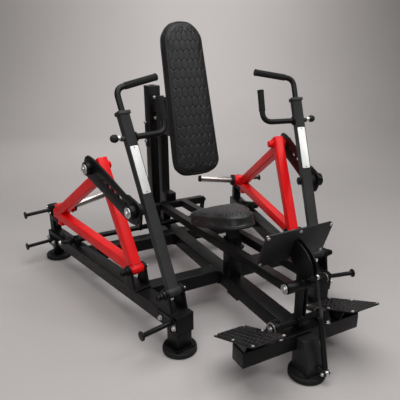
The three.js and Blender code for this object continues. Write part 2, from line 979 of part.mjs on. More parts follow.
// Weight sleeve: chromed bar with its end cap, and the rubber collar at its root.
const collarStart = hubLength + hubBlockWidth + seatGap;
const collarEnd = collarStart + collarLength;
const sleeveStart = collarEnd + seatGap;
const sleeve = join(
  rod(sleeveRadius, onSleeve(sleeveStart), onSleeve(sleeveStart + sleeveLength)),
  rod(
    sleeveCapRadius,
    onSleeve(sleeveStart + sleeveLength - sleeveCapLength),
    onSleeve(sleeveStart + sleeveLength + sleeveCapLength),
  ),
);
const collar = rod(collarRadius, onSleeve(collarStart), onSleeve(collarEnd));

// Link plate: round head at the weight arm, tapered tail past the press arm, plain slots.
const linkHead = point(0, linkTopY, linkTopZ);
const linkAhead = linkHead.clone().sub(point(0, linkLow.y, linkLow.z)).normalize();
const linkUp = point(0, -linkAhead.z, linkAhead.y);
function onLink(distance, offset) {
  const place = point(0, linkLow.y, linkLow.z)
    .addScaledVector(linkAhead, distance)
    .addScaledVector(linkUp, offset);
  return [place.y, place.z];
}
const linkSpan = linkHead.distanceTo(point(0, linkLow.y, linkLow.z));
const linkAngle = Math.atan2(linkAhead.z, linkAhead.y);
const linkOutline = new THREE.Shape();
linkOutline.moveTo(...onLink(-linkTail, linkTailWidth / 2));
linkOutline.lineTo(...onLink(-linkTail, -linkTailWidth / 2));
linkOutline.lineTo(...onLink(0, -linkWidth / 2));
linkOutline.absarc(
  linkTopY,
  linkTopZ,
  linkHeadRadius,
  linkAngle - quarterTurn,
  linkAngle + quarterTurn,
);
linkOutline.lineTo(...onLink(0, linkWidth / 2));
linkOutline.closePath();
const linkCuts = [];
for (let slot = 0; slot < linkSlotCount; slot += 1) {
  const start = linkSlotStart + slot * linkSlotPitch;
  const radius = linkSlotWidth / 2;
  const slotOutline = strapOutline(
    onLink(start + radius, 0),
    onLink(start + linkSlotLength - radius, 0),
    radius,
  );
  linkCuts.push(sidePlate(slotOutline, 0, linkPlateX + cutMargin, smallSides));
}
const linkOuterX = linkPlateX + linkThickness;
const [smallHoleY, smallHoleZ] = onLink(linkHoleAlong, 0);
const linkPlate = join(
  cut(
    sidePlate(linkOutline, linkPlateX, linkOuterX),
    rodAcross(linkOpenRadius, 0, linkOuterX + cutMargin, linkLow.y, linkLow.z),
    rodAcross(linkHoleRadius, 0, linkOuterX + cutMargin, smallHoleY, smallHoleZ, smallSides),
    ...linkCuts,
  ),
  rodAcross(linkPinRadius, weightX + runGap, linkOuterX + linkNutLength, linkTopY, linkTopZ, smallSides),
  rodAcross(linkNutRadius, linkPlateX, linkOuterX + linkNutLength, linkTopY, linkTopZ, 6),
);

// Bearing block on a rail or beam, with a bore for a shaft along X.
function bearingBlock(x, y, z, half, radius, base, seatZ, bore) {
  const outline = new THREE.Shape();
  outline.moveTo(y - base, seatZ);
  outline.lineTo(y + base, seatZ);
  outline.lineTo(y + base, seatZ + (z - seatZ) / 2);
  outline.lineTo(y + radius, z);
  outline.absarc(y, z, radius, 0, halfTurn);
  outline.lineTo(y - base, seatZ + (z - seatZ) / 2);
  outline.closePath();
  return cut(
    sidePlate(outline, x - half, x + half),
    rodAcross(bore, x - half - cutMargin, x + half + cutMargin, y, z),
  );
}

// The two side units, each piece made once and set on both sides.
const rockerRailX = unitX + (rockerY - unitY) * Math.tan(radians(railToeAngle));
const rockerBearing = bearingBlock(
  rockerRailX,
  rockerY,
  rockerZ,
  rockerBearingHalf,
  rockerBearingRadius,
  rockerBearingRadius,
  seatedOnBeam,
  boreRadius(rockerShaftRadius, seatGap),
);
const railPostFace = frontPostWidth / 2;
const unitPieces = [
  ['side_rail', sideRail, blackPaint],
  ['front_disc', floorDisc(0, frontFootY), rubber],
  ['rear_disc', floorDisc(0, rearFootY), rubber],
  ['front_peg', storagePeg(railPostFace, frontFootY, frontPegZ), blackPaint],
  ['rear_peg_upper', storagePeg(rearPostWidth / 2, rearFootY, rearPegUpperZ), blackPaint],
  ['rear_peg_lower', storagePeg(railWidth / 2, rearFootY, rearPegLowerZ), blackPaint],
  ['arm_clevis', clevis(0, armPivotY, armPivotZ), blackPaint],
  ['weight_clevis', clevis(weightX, weightPivotY, weightPivotZ), blackPaint],
  ['press_arm', pressArm, greyPaint],
  ['upper_handle', upperHandle, blackPaint],
  ['lower_handle', lowerHandle, blackPaint],
  ['pull_pin', pullPin, rubber],
  ['weight_arm', weightArm, redPaint],
  ['weight_sleeve', sleeve, chrome],
  ['sleeve_collar', collar, rubber],
  ['link_plate', linkPlate, blackPaint],
];
for (const side of sides) {
  for (const [name, solid, look] of unitPieces) {
    addPiece(`${name}_${side.name}`, moved(solid, side.matrix), look);
  }
  const straight = side.sign > 0 ? (solid) => solid : (solid) => moved(solid, mirror);
  addPiece(`front_cross_${side.name}`, straight(frontCross), blackPaint);
  addPiece(`rear_cross_${side.name}`, straight(rearCross), blackPaint);
  addPiece(`rocker_bearing_${side.name}`, straight(rockerBearing), blackPaint);
}

// Rear column: a closed-topped tube on the spine, with a plate on its left side.
const column = join(
  tube(
    point(0, columnMidY, seatedOnBeam),
    point(0, columnMidY, columnTop),
    xAxis,
    columnWidth,
    columnDepth,
    0,
    tubeWall * 2,
  ),
  rod(
    columnStudRadius,
    point(0, columnMidY, columnTop - tubeWall),
    point(0, columnMidY, columnTop + columnStudHeight),
  ),
  block(
    [-columnWidth / 2 - sidePlateThickness, -columnWidth / 2 + tubeWall / 2],
    [columnRearY - tubeCorner - sidePlateWidth, columnRearY - tubeCorner],
    [sidePlateTop - sidePlateLength, sidePlateTop],
  ),
);
addPiece('column', column, blackPaint);

// Pad post in front of the column, with its brace, and the stop that the push frame rests on.
const padPost = join(
  bar(
    point(0, padPostMidY, seatedOnBeam),
    point(0, padPostMidY, padPostTop),
    xAxis,
    padPostWidth,
    padPostWidth,
  ),
  bar(
    point(0, padPostRearY - tubeWall, braceZ),
    point(0, columnFrontY - seatGap, braceZ),
    xAxis,
    braceWidth,
    braceWidth,
  ),
  block(
    around(0, padPostWidth),
    [padPostRearY - tubeWall / 2, padPostRearY + flangeThickness],
    around(braceZ, braceFlangeLength),
  ),
  block(
    around(0, stopBracketWidth),
    [pushRearY + pushRailWidth / 2 + runGap, padPostFrontY + tubeWall / 2],
    [stopBracketBottom, stopBracketTop],
  ),
);

// Back pad: quilted in long hexagons, on a carrier of two tubes and a plate.
function padWidthAt(y) {
  const share = Math.min(1, Math.max(0, y / padLength));
  const straight = padFootWidth + (padHeadWidth - padFootWidth) * share;
  const fromEnd = Math.min(share, 1 - share) * padLength;
  const inCorner = Math.max(0, padCornerRadius - fromEnd);
  const drawn = padCornerRadius - Math.sqrt(padCornerRadius ** 2 - inCorner ** 2);
  return straight - drawn * 2;
}
const padMatrix = new THREE.Matrix4()
  .makeRotationX(quarterTurn - radians(padLean))
  .setPosition(0, padFootY + padThickness, padFootZ);
const pad = cushionOf({
  length: padLength,
  thickness: padThickness,
  crown: padCrown,
  columns: padQuiltColumns,
  rows: padQuiltRows,
  depth: padQuiltDepth,
  roll: padEdgeRoll,
  pinch: padSidePinch,
  halfWidth: padFootWidth / 2,
  widthAt: padWidthAt,
  seams: true,
});
addPiece('back_pad', moved(pad, padMatrix), leatherette);
const padBack = point(0, padFootY + padThickness, padFootZ);
const padUp = leaning(padLean);
const padAway = point(0, Math.cos(radians(padLean)), -Math.sin(radians(padLean)));
const carrierNear = padBack.clone().addScaledVector(padAway, seatGap);
const plateStart = carrierNear.clone()
  .addScaledVector(padUp, carrierPlateStart)
  .addScaledVector(padAway, carrierPlateThickness / 2);
const plateEnd = plateStart.clone().addScaledVector(padUp, carrierPlateLength);
const padSlot = bar(
  carrierNear.clone().addScaledVector(padUp, -padLength).addScaledVector(padAway, -padThickness),
  carrierNear.clone().addScaledVector(padUp, padLength * 2).addScaledVector(padAway, -padThickness),
  xAxis,
  padFootWidth,
  padThickness * 2,
);
const carrierTubes = carrierHeights.map((z) => bar(
  point(0, padPostFrontY + tubeWall / 2, z),
  point(0, padBack.y + (z - padFootZ) * Math.tan(radians(padLean)), z),
  xAxis,
  carrierTubeWidth,
  carrierTubeWidth,
));
const carrier = cut(
  join(
    bar(
      plateStart,
      plateEnd,
      xAxis,
      carrierPlateWidth,
      carrierPlateThickness,
      carrierPlateThickness / 4,
    ),
    ...carrierTubes,
  ),
  padSlot,
);
addPiece('pad_post', join(padPost, carrier), blackPaint);

// Seat sleeve on the spine, with the housing of its spring pin.
const sleeveFrontY = seatPostY - seatSleeveWidth / 2;
const seatSleeve = cut(
  join(
    bar(
      point(0, seatPostY, seatedOnBeam),
      point(0, seatPostY, seatSleeveTop),
      xAxis,
      seatSleeveWidth,
      seatSleeveWidth,
    ),
    rod(
      pinHousingRadius,
      point(0, seatPostY, seatPinZ),
      point(0, sleeveFrontY - pinHousingLength, seatPinZ),
      smallSides,
    ),
  ),
  bar(
    point(0, seatPostY, beamBottom),
    point(0, seatPostY, seatSleeveTop + cutMargin),
    xAxis,
    seatPostWidth + runGap * 2,
    seatPostWidth + runGap * 2,
  ),
  rod(
    boreRadius(pinStemRadius, seatGap, smallSides),
    point(0, seatPostY, seatPinZ),
    point(0, sleeveFrontY - pinHousingLength * 2, seatPinZ),
    smallSides,
  ),
);
addPiece('seat_sleeve', seatSleeve, blackPaint);

// Seat post: slides in the sleeve, with a row of holes in front for the pin.
const seatUp = point(0, Math.sin(radians(seatTilt)), Math.cos(radians(seatTilt)));
const seatBack = point(0, Math.cos(radians(seatTilt)), -Math.sin(radians(seatTilt)));
const postFrontY = seatPostY - seatPostWidth / 2;
const seatPlateMid = point(0, seatPostY, seatUnderZ)
  .addScaledVector(seatUp, -seatGap - seatPlateThickness / 2);
const seatPlate = bar(
  seatPlateMid.clone().addScaledVector(seatBack, -seatPlateLength / 2),
  seatPlateMid.clone().addScaledVector(seatBack, seatPlateLength / 2),
  xAxis,
  seatPlateWidth,
  seatPlateThickness,
  seatPlateThickness / 4,
);
const seatHoles = [];
for (let hole = 0; hole < seatHoleCount; hole += 1) {
  const z = seatPinZ - hole * seatHolePitch;
  seatHoles.push(rod(
    seatHoleRadius,
    point(0, postFrontY - cutMargin, z),
    point(0, postFrontY + seatPostWidth / 2, z),
    smallSides,
  ));
}
const aboveSeatPlate = point(0, seatPostY, seatUnderZ).addScaledVector(seatUp, spineWidth / 2 - seatGap);
const seatPost = join(
  cut(
    bar(
      point(0, seatPostY, seatPostBottom),
      point(0, seatPostY, seatUnderZ + cutMargin),
      xAxis,
      seatPostWidth,
      seatPostWidth,
    ),
    bar(
      aboveSeatPlate.clone().addScaledVector(seatBack, -seatLength),
      aboveSeatPlate.clone().addScaledVector(seatBack, seatLength),
      xAxis,
      spineWidth,
      spineWidth,
    ),
    ...seatHoles,
  ),
  seatPlate,
);
addPiece('seat_post', seatPost, greyPaint);
const seatPin = springPin(
  point(0, sleeveFrontY - pinHousingLength, seatPinZ),
  yAxis.clone().negate(),
);
addPiece('seat_pin', seatPin, rubber);

// Seat: narrow nose in front, waist, wide rear; quilted in diamonds.
function seatWidthAt(y) {
  const share = Math.min(1, Math.max(0, y / seatLength));
  const swell = Math.sin(quarterTurn * share) ** 2;
  const waist = Math.sin(halfTurn * Math.min(1, share * 2)) * (seatWaistWidth - seatRearWidth) / 4;
  const straight = seatNoseWidth + (seatRearWidth - seatNoseWidth) * swell + waist;
  const corner = Math.min(share, 1 - share) * seatLength;
  const radius = seatNoseWidth / 4;
  const inCorner = Math.max(0, radius - corner);
  return straight - (radius - Math.sqrt(radius ** 2 - inCorner ** 2)) * 2;
}
const seatMatrix = new THREE.Matrix4()
  .makeRotationX(-radians(seatTilt))
  .setPosition(
    0,
    seatPostY + (seatFrontY - seatPostY) * Math.cos(radians(seatTilt)),
    seatUnderZ - (seatFrontY - seatPostY) * Math.sin(radians(seatTilt)),
  );
const seat = cushionOf({
  length: seatLength,
  thickness: seatThickness,
  crown: seatCrown,
  columns: seatQuiltColumns,
  rows: seatQuiltRows,
  depth: seatQuiltDepth,
  roll: seatEdgeRoll,
  pinch: seatSidePinch,
  halfWidth: seatRearWidth / 2,
  widthAt: seatWidthAt,
  seams: false,
});
addPiece('seat_cushion', moved(seat, seatMatrix), seatCover);

// Foot beam across the front, closed at both ends.
addPiece('foot_beam', bar(
  point(-footBeamLength / 2, footBeamY, beamMid),
  point(footBeamLength / 2, footBeamY, beamMid),
  yAxis,
  footBeamWidth,
  beamHeight,
), blackPaint);

// Front leg: a kneed box under and before the beam, with the strut's lugs and pin.
const beamFrontY = footBeamY - footBeamWidth / 2 - seatGap;
const legOutline = outlineOf([
  [legRearY, seatedOnDisc],
  [legRearY, beamBottom - seatGap],
  [beamFrontY, beamBottom - seatGap],
  [beamFrontY, legTopZ],
  [legTopFrontY, legTopZ],
  [legKneeY, legKneeZ],
  [legKneeY, seatedOnDisc],
]);
const lugInner = strutEyeHalf + runGap;
const lugOuter = lugInner + strutLugThickness;
const lugOutline = strapOutline(
  [legKneeY + strutLugRadius, strutFootZ],
  [strutFootY, strutFootZ],
  strutLugRadius,
);
const frontLeg = join(
  sidePlate(legOutline, -legHalfWidth, legHalfWidth),
  sidePlate(lugOutline, strutX - lugOuter, strutX - lugInner, smallSides),
  sidePlate(lugOutline, strutX + lugInner, strutX + lugOuter, smallSides),
  rodAcross(
    strutPinRadius,
    strutX - lugOuter - strutPinRadius,
    strutX + lugOuter + strutPinRadius,
    strutFootY,
    strutFootZ,
    smallSides,
  ),
);
addPiece('front_leg', frontLeg, greyPaint);
addPiece('front_disc_middle', floorDisc(0, legDiscY), rubber);

// Disc under the leg of the spine.
addPiece('rear_disc_middle', floorDisc(0, columnMidY), rubber);

// Foot plates: sloping tread plates on two ribs, higher in front.
const plateDown = point(0, Math.cos(radians(footPlateSlope)), -Math.sin(radians(footPlateSlope)));
const plateUp = point(0, Math.sin(radians(footPlateSlope)), Math.cos(radians(footPlateSlope)));
function treadOutline() {
  const halfX = (footPlateOuterX - footPlateInnerX) / 2;
  const halfY = footPlateLength / 2;
  const inX = halfX - footPlateChamfer;
  const inY = halfY - footPlateChamfer;
  return outlineOf([
    [-inX, -halfY], [inX, -halfY], [halfX, -inY], [halfX, inY],
    [inX, halfY], [-inX, halfY], [-halfX, inY], [-halfX, -inY],
  ]);
}
function footPlate() {
  const middle = point((footPlateInnerX + footPlateOuterX) / 2, footPlateY, footPlateZ);
  const form = new THREE.ExtrudeGeometry(treadOutline(), {
    depth: footPlateThickness,
    bevelEnabled: false,
  });
  const matrix = new THREE.Matrix4().makeBasis(xAxis, plateDown, plateUp).setPosition(middle);
  const tread = solidOf(form.applyMatrix4(matrix));
  const under = (y) => footPlateZ - (y - footPlateY) * Math.tan(radians(footPlateSlope))
    + footPlateThickness / 2;
  const frontY = footBeamY - footBeamWidth / 2;
  const rearY = footBeamY + footBeamWidth / 2;
  const ribOutline = outlineOf([
    [frontY, seatedOnBeam],
    [rearY, seatedOnBeam],
    [rearY + footRibSpread, under(rearY + footRibSpread)],
    [frontY - footRibSpread, under(frontY - footRibSpread)],
  ]);
  const ribs = [footPlateInnerX + footRibInset, footPlateOuterX - footRibInset].map(
    (x) => sidePlate(ribOutline, x - footRibThickness / 2, x + footRibThickness / 2),
  );
  return join(tread, ...ribs);
}
addPiece('foot_plate_right', footPlate(), greyPaint);
addPiece('foot_plate_left', moved(footPlate(), mirror), greyPaint);

// Bearing blocks of the lever shaft, on the foot beam.
const leverBearing = bearingBlock(
  leverBearingX,
  leverShaftY,
  leverShaftZ,
  leverBearingHalf,
  leverBearingRadius,
  leverBearingBase,
  seatedOnBeam,
  boreRadius(leverShaftRadius, seatGap),
);
addPiece('lever_bearing_right', leverBearing, blackPaint);
addPiece('lever_bearing_left', moved(leverBearing, mirror), blackPaint);

// Foot lever: twin curved plates on the shaft, with the boss and pin of the push frame.
const pushLean = Math.tan(radians(pushPlateLean));
const pushUp = point(0, -Math.sin(radians(pushPlateLean)), Math.cos(radians(pushPlateLean)));
const pushAway = point(0, Math.cos(radians(pushPlateLean)), Math.sin(radians(pushPlateLean)));
function pushBackY(z) {
  return pushPlateMidY - (z - pushPlateMidZ) * pushLean;
}
const leverOutline = new THREE.Shape();
leverOutline.moveTo(leverRearY, leverShaftZ);
leverOutline.lineTo(leverRearY, leverPinZ + leverHubRadius);
leverOutline.lineTo(pushBackY(leverHeelZ) - seatGap, leverHeelZ);
leverOutline.lineTo(pushBackY(leverCrestZ) - seatGap, leverCrestZ);
leverOutline.bezierCurveTo(
  (leverCrestY + leverBulgeY * 2) / 3,
  leverCrestZ - leverHubRadius / 4,
  leverBulgeY,
  leverBulgeZ + leverHubRadius,
  leverBulgeY,
  leverBulgeZ,
);
leverOutline.bezierCurveTo(
  leverBulgeY,
  leverBulgeZ - leverHubRadius,
  leverFrontY,
  leverPinZ + leverHubRadius,
  leverFrontY,
  leverPinZ,
);
leverOutline.lineTo(leverFrontY + seatPlateThickness, leverShaftZ);
leverOutline.closePath();
const leverPlateOuter = leverPlateInner + leverPlateThickness;
const pushBossEnd = pushRailX + pushRailWidth / 2 + pushCapLength;
const strutEyeInner = strutX - strutEyeHalf;
const leverCore = join(
  sidePlate(leverOutline, leverPlateInner, leverPlateOuter, shaftSides),
  sidePlate(leverOutline, -leverPlateOuter, -leverPlateInner, shaftSides),
  rodAcross(leverHubRadius, -leverBossHalf, leverBossHalf, leverShaftY, leverShaftZ),
  rodAcross(
    leverShaftRadius,
    -leverShaftHalf,
    leverShaftHalf,
    leverShaftY,
    leverShaftZ,
    shaftSides,
  ),
  rodAcross(leverBossRadius, -leverBossHalf, leverBossHalf, leverPinY, leverPinZ, shaftSides),
);
const leverPin = join(
  rodAcross(leverPinRadius, -pushBossEnd, pushBossEnd, leverPinY, leverPinZ, shaftSides),
  rodAcross(
    pushCapRadius,
    pushBossEnd + seatGap - pushCapLength,
    pushBossEnd + pushCapLength,
    leverPinY,
    leverPinZ,
    shaftSides,
  ),
);
const strutPin = join(
  rodAcross(
    strutEyeRadius,
    -leverPlateOuter,
    strutEyeInner - runGap,
    strutTopY,
    strutTopZ,
    smallSides,
  ),
  rodAcross(
    strutPinRadius,
    -leverPlateOuter - strutPinReach / 2,
    strutX + strutEyeHalf + strutPinRadius,
    strutTopY,
    strutTopZ,
    smallSides,
  ),
);
addPiece('foot_lever', join(leverCore, leverPin, moved(leverPin, mirror), strutPin), blackPaint);

// Push plate: wide plate across the lever's head, corners cut.
const pushCorner = pushPlateHalfWidth - pushPlateChamfer;
const pushSide = pushPlateLength / 2 - pushPlateChamfer;
const pushForm = new THREE.ExtrudeGeometry(outlineOf([
  [-pushCorner, -pushPlateLength / 2], [pushCorner, -pushPlateLength / 2],
  [pushPlateHalfWidth, -pushSide], [pushPlateHalfWidth, pushSide],
  [pushCorner, pushPlateLength / 2], [-pushCorner, pushPlateLength / 2],
  [-pushPlateHalfWidth, pushSide], [-pushPlateHalfWidth, -pushSide],
]), { depth: pushPlateThickness, bevelEnabled: false });
const pushMatrix = new THREE.Matrix4()
  .makeBasis(xAxis.clone().negate(), pushUp, pushAway)
  .setPosition(0, pushPlateMidY, pushPlateMidZ);
addPiece('push_plate', solidOf(pushForm.applyMatrix4(pushMatrix)), greyPaint);

// Push frame: two rails from the lever's pin to a cross tube with a stub pin at each end.
function pushHalf(sign) {
  const middle = sign * pushRailX;
  const inner = sign * (leverBossHalf + runGap);
  const outer = sign * (pushRailX + pushRailWidth / 2);
  return join(
    bar(
      point(middle, leverPinY, leverPinZ),
      point(middle, pushRearY, pushRearZ),
      xAxis,
      pushRailWidth,
      pushRailWidth,
    ),
    rodAcross(
      pushBossRadius,
      Math.min(inner, outer),
      Math.max(inner, outer),
      leverPinY,
      leverPinZ,
      shaftSides,
    ),
  );
}
const rockerArmInner = pushRearHalf + runGap;
const rockerArmOuter = rockerArmInner + rockerArmThickness;
const rockerPinEnd = rockerArmInner + rockerPinReach;
const pushFrame = cut(
  join(
    pushHalf(1),
    pushHalf(-1),
    bar(
      point(-pushRearHalf, pushRearY, pushRearZ),
      point(pushRearHalf, pushRearY, pushRearZ),
      yAxis,
      pushRailWidth,
      pushRailWidth,
    ),
    rodAcross(rockerPinRadius, -rockerPinEnd, rockerPinEnd, pushRearY, pushRearZ, smallSides),
  ),
  rodAcross(
    boreRadius(leverPinRadius, pivotPinGap),
    -pushBossEnd - cutMargin,
    pushBossEnd + cutMargin,
    leverPinY,
    leverPinZ,
  ),
);
addPiece('push_frame', pushFrame, blackPaint);

// Rocker: shaft across the rails, two arms up to the push frame, two lifters under the bumps.
const onUnit = (x, y) => point(x, y, 0).applyMatrix4(toRight);
const bumpPlace = onUnit(weightX, bumpY);
const rockerShaftHalf = bumpPlace.x + lifterThickness / 2 + rockerShaftOverhang;
const lifterOutline = new THREE.Shape();
lifterOutline.absarc(rockerY, rockerZ, lifterHubRadius, quarterTurn, quarterTurn * 3);
lifterOutline.lineTo(bumpPlace.y + lifterTail, lifterTopZ - lifterTipHeight);
lifterOutline.lineTo(bumpPlace.y + lifterTail, lifterTopZ);
lifterOutline.lineTo(bumpPlace.y - lifterTail, lifterTopZ);
lifterOutline.closePath();
const rockerArmOutline = strapOutline(
  [rockerY, rockerZ],
  [pushRearY, pushRearZ],
  rockerArmWidth / 2,
);
const rockerArm = cut(
  sidePlate(rockerArmOutline, rockerArmInner, rockerArmOuter, shaftSides),
  rodAcross(
    rockerOpenRadius,
    rockerArmInner - cutMargin,
    rockerArmOuter + cutMargin,
    pushRearY,
    pushRearZ,
  ),
);
const rockerHalf = join(
  rodAcross(rockerShaftRadius, -seatGap, rockerShaftHalf, rockerY, rockerZ, shaftSides),
  rodAcross(
    rockerEndRadius,
    rockerShaftHalf - rockerEndLength,
    rockerShaftHalf + rockerEndLength,
    rockerY,
    rockerZ,
    6,
  ),
  rockerArm,
  sidePlate(
    lifterOutline,
    bumpPlace.x - lifterThickness / 2,
    bumpPlace.x + lifterThickness / 2,
    shaftSides,
  ),
);
addPiece('rocker', join(rockerHalf, moved(rockerHalf, mirror)), blackPaint);

// Gas strut: cylinder standing on the leg's lug, rod reaching up to the lever's pin.
const strutFoot = point(strutX, strutFootY, strutFootZ);
const strutTop = point(strutX, strutTopY, strutTopZ);
const strutAlong = strutTop.clone().sub(strutFoot).normalize();
const strutBore = boreRadius(strutPinRadius, seatGap, smallSides);
function strutEye(place) {
  return rodAcross(
    strutEyeRadius,
    strutX - strutEyeHalf,
    strutX + strutEyeHalf,
    place.y,
    place.z,
    smallSides,
  );
}
function eyeBore(place, radius) {
  return rodAcross(
    radius,
    strutX - strutEyeHalf - cutMargin,
    strutX + strutEyeHalf + cutMargin,
    place.y,
    place.z,
    smallSides,
  );
}
const cylinderStart = strutFoot.clone().addScaledVector(strutAlong, strutCylinderStart);
const cylinderTop = strutFoot.clone().addScaledVector(strutAlong, strutBodyLength);
const rodBottom = strutFoot.clone().addScaledVector(strutAlong, strutRodStart);
const strutCylinder = cut(
  join(
    rod(strutCylinderRadius, cylinderStart, cylinderTop, shaftSides),
    rod(strutRodRadius, strutFoot, cylinderStart.clone().addScaledVector(strutAlong, strutEyeRadius)),
    strutEye(strutFoot),
  ),
  eyeBore(strutFoot, strutBore),
  rod(
    strutRodRadius + runGap,
    strutFoot.clone().addScaledVector(strutAlong, strutHollowStart),
    cylinderTop.clone().addScaledVector(strutAlong, cutMargin),
    smallSides,
  ),
);
addPiece('strut_cylinder', strutCylinder, blackPaint);
const strutRod = cut(
  join(
    rod(strutRodRadius, rodBottom, strutTop, smallSides),
    strutEye(strutTop),
  ),
  eyeBore(strutTop, strutPinRadius + strutOpenGap),
);
addPiece('strut_rod', strutRod, zincSteel);

// The machine stands centred over the origin, on the floor.
const bounds = new THREE.Box3().setFromObject(machine);
const centre = bounds.getCenter(new THREE.Vector3());
const shift = point(-centre.x, -centre.y, -bounds.min.z);
for (const mesh of machine.children) {
  mesh.geometry.translate(shift.x, shift.y, shift.z);
}

// Pivots and directions of the joints, in the machine's own frame.
const atUnit = (place) => place.clone().applyMatrix4(toRight).add(shift);
const inBase = (place) => place.clone().add(shift);
const outward = xAxis.clone().transformDirection(toRight);
machine.userData.pivots = {
  shift,
  outward,
  weight: atUnit(weightFoot),
  arm: atUnit(armFoot),
  linkTop: atUnit(point(linkPlateX, linkTopY, linkTopZ)),
  linkLow: atUnit(linkLow),
  swivel: atUnit(swivel),
  pin: atUnit(point(pinHousingOuter, swivel.y, swivel.z)),
  seatPin: inBase(point(0, sleeveFrontY, seatPinZ)),
  lever: inBase(point(0, leverShaftY, leverShaftZ)),
  push: inBase(point(0, leverPinY, leverPinZ)),
  rocker: inBase(point(0, rockerY, rockerZ)),
  pushRear: inBase(point(0, pushRearY, pushRearZ)),
  strutFoot: inBase(strutFoot),
  strutTop: inBase(strutTop),
  strutAlong,
  bump: inBase(point(bumpPlace.x, bumpPlace.y, bumpBottom)),
};

export default machine;
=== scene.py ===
import json
import math

import bmesh
import bpy
from mathutils import Matrix, Vector, bvhtree, kdtree, noise

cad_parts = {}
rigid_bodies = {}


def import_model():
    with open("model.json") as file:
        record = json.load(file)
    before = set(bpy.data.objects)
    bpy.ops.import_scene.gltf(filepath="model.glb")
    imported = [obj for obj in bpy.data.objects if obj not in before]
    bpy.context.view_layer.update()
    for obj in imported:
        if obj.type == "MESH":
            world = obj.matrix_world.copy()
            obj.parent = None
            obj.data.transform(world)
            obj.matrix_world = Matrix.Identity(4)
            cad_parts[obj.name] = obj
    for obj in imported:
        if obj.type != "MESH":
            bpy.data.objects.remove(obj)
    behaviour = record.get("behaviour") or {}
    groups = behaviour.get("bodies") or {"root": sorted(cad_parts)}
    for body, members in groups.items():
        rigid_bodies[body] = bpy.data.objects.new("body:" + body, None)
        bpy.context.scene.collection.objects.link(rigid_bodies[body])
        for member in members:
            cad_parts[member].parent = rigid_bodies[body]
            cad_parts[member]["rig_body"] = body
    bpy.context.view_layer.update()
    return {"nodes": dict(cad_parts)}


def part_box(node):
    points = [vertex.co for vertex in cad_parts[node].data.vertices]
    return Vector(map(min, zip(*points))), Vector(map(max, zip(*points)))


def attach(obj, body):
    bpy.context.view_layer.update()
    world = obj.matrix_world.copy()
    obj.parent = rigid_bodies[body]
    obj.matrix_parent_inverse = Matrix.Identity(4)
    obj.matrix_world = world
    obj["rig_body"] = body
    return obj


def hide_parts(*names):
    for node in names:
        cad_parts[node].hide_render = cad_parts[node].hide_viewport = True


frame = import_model()
scene = bpy.context.scene

# Studio and camera
# The machine stands on a seamless warm grey sweep that curves up into the wall behind it.
# A wide softbox hangs overhead, with a small key on the right and a wide fill on the left.
CAMERA_PLACE = (-1.2943, -2.3566, 1.5176)
CAMERA_LENS = 41.846
CAMERA_RIGHT = Vector((0.88736, -0.46099, -0.00927))
CAMERA_UP = Vector((0.15643, 0.28207, 0.94655))
CAMERA_BACK = Vector((-0.43374, -0.84138, 0.32241))
CAMERA_REACH = 60
SWEEP_NEAR = 12.0
SWEEP_FLAT = 5.0
SWEEP_RADIUS = 2.2
SWEEP_WALL = 4.0
SWEEP_HALF_WIDTH = 12.0
SWEEP_STEPS = 20
SWEEP_TONES = ((0.385, 0.364, 0.357), (0.415, 0.392, 0.385))
SWEEP_ROUGH = 0.9
NOISE_LOW = 0.3
NOISE_HIGH = 0.7
SHINE = "Specular IOR Level"


def in_scene(name, data):
    """A new object in the scene."""
    made = bpy.data.objects.new(name, data)
    scene.collection.objects.link(made)
    return made


def add_node(tree, kind, inputs=(), **settings):
    """Adds a node; an input is a value, another node's output or a list of outputs."""
    made = tree.nodes.new(kind)
    for name, value in settings.items():
        setattr(made, name, value)
    for name, value in dict(inputs).items():
        for given in value if isinstance(value, list) else [value]:
            if isinstance(given, bpy.types.NodeSocket):
                tree.links.new(given, made.inputs[name])
            else:
                made.inputs[name].default_value = given
    return made.outputs


def noise_at(tree, scale, detail, rough=0.5, stretch=None):
    """Noise in the piece's own metres; stretch lengthens it along an axis."""
    source = add_node(tree, "ShaderNodeTexCoord")["Object"]
    if stretch:
        source = add_node(tree, "ShaderNodeMapping", {"Vector": source, "Scale": stretch})["Vector"]
    given = {"Vector": source, "Scale": scale, "Detail": detail, "Roughness": rough}
    return add_node(tree, "ShaderNodeTexNoise", given)["Fac"]


def surface(name, tones, cloud, rough, relief=(), gloss=None, fixed=None):
    """A material whose colour, roughness and relief follow noises.

    cloud and gloss are noises, as (scale, detail, rough, stretch); relief holds pairs of a noise
    and a depth in metres, finest last; rough is one value, or the two it runs between.
    """
    made = bpy.data.materials.new(name)
    made.use_nodes = True
    tree = made.node_tree
    shader = tree.nodes["Principled BSDF"].inputs
    colour = add_node(tree, "ShaderNodeValToRGB", {"Fac": noise_at(tree, *cloud)})["Color"]
    stops = colour.node.color_ramp.elements
    for stop, place, tone in zip(stops, (NOISE_LOW, NOISE_HIGH), tones):
        stop.position = place
        stop.color = (*tone, 1)
    tree.links.new(colour, shader["Base Color"])
    if isinstance(rough, tuple):
        given = {"From Min": NOISE_LOW, "From Max": NOISE_HIGH, "To Min": rough[0]}
        given |= {"To Max": rough[1], "Value": noise_at(tree, *(gloss or cloud))}
        tree.links.new(add_node(tree, "ShaderNodeMapRange", given)["Result"], shader["Roughness"])
    else:
        shader["Roughness"].default_value = rough
    normal = None
    for pattern, depth in relief:
        given = {"Distance": depth, "Height": noise_at(tree, *pattern)}
        if normal:
            given["Normal"] = normal
        normal = add_node(tree, "ShaderNodeBump", given)["Normal"]
    if normal:
        tree.links.new(normal, shader["Normal"])
    for label, value in (fixed or {}).items():
        shader[label].default_value = value
    return made


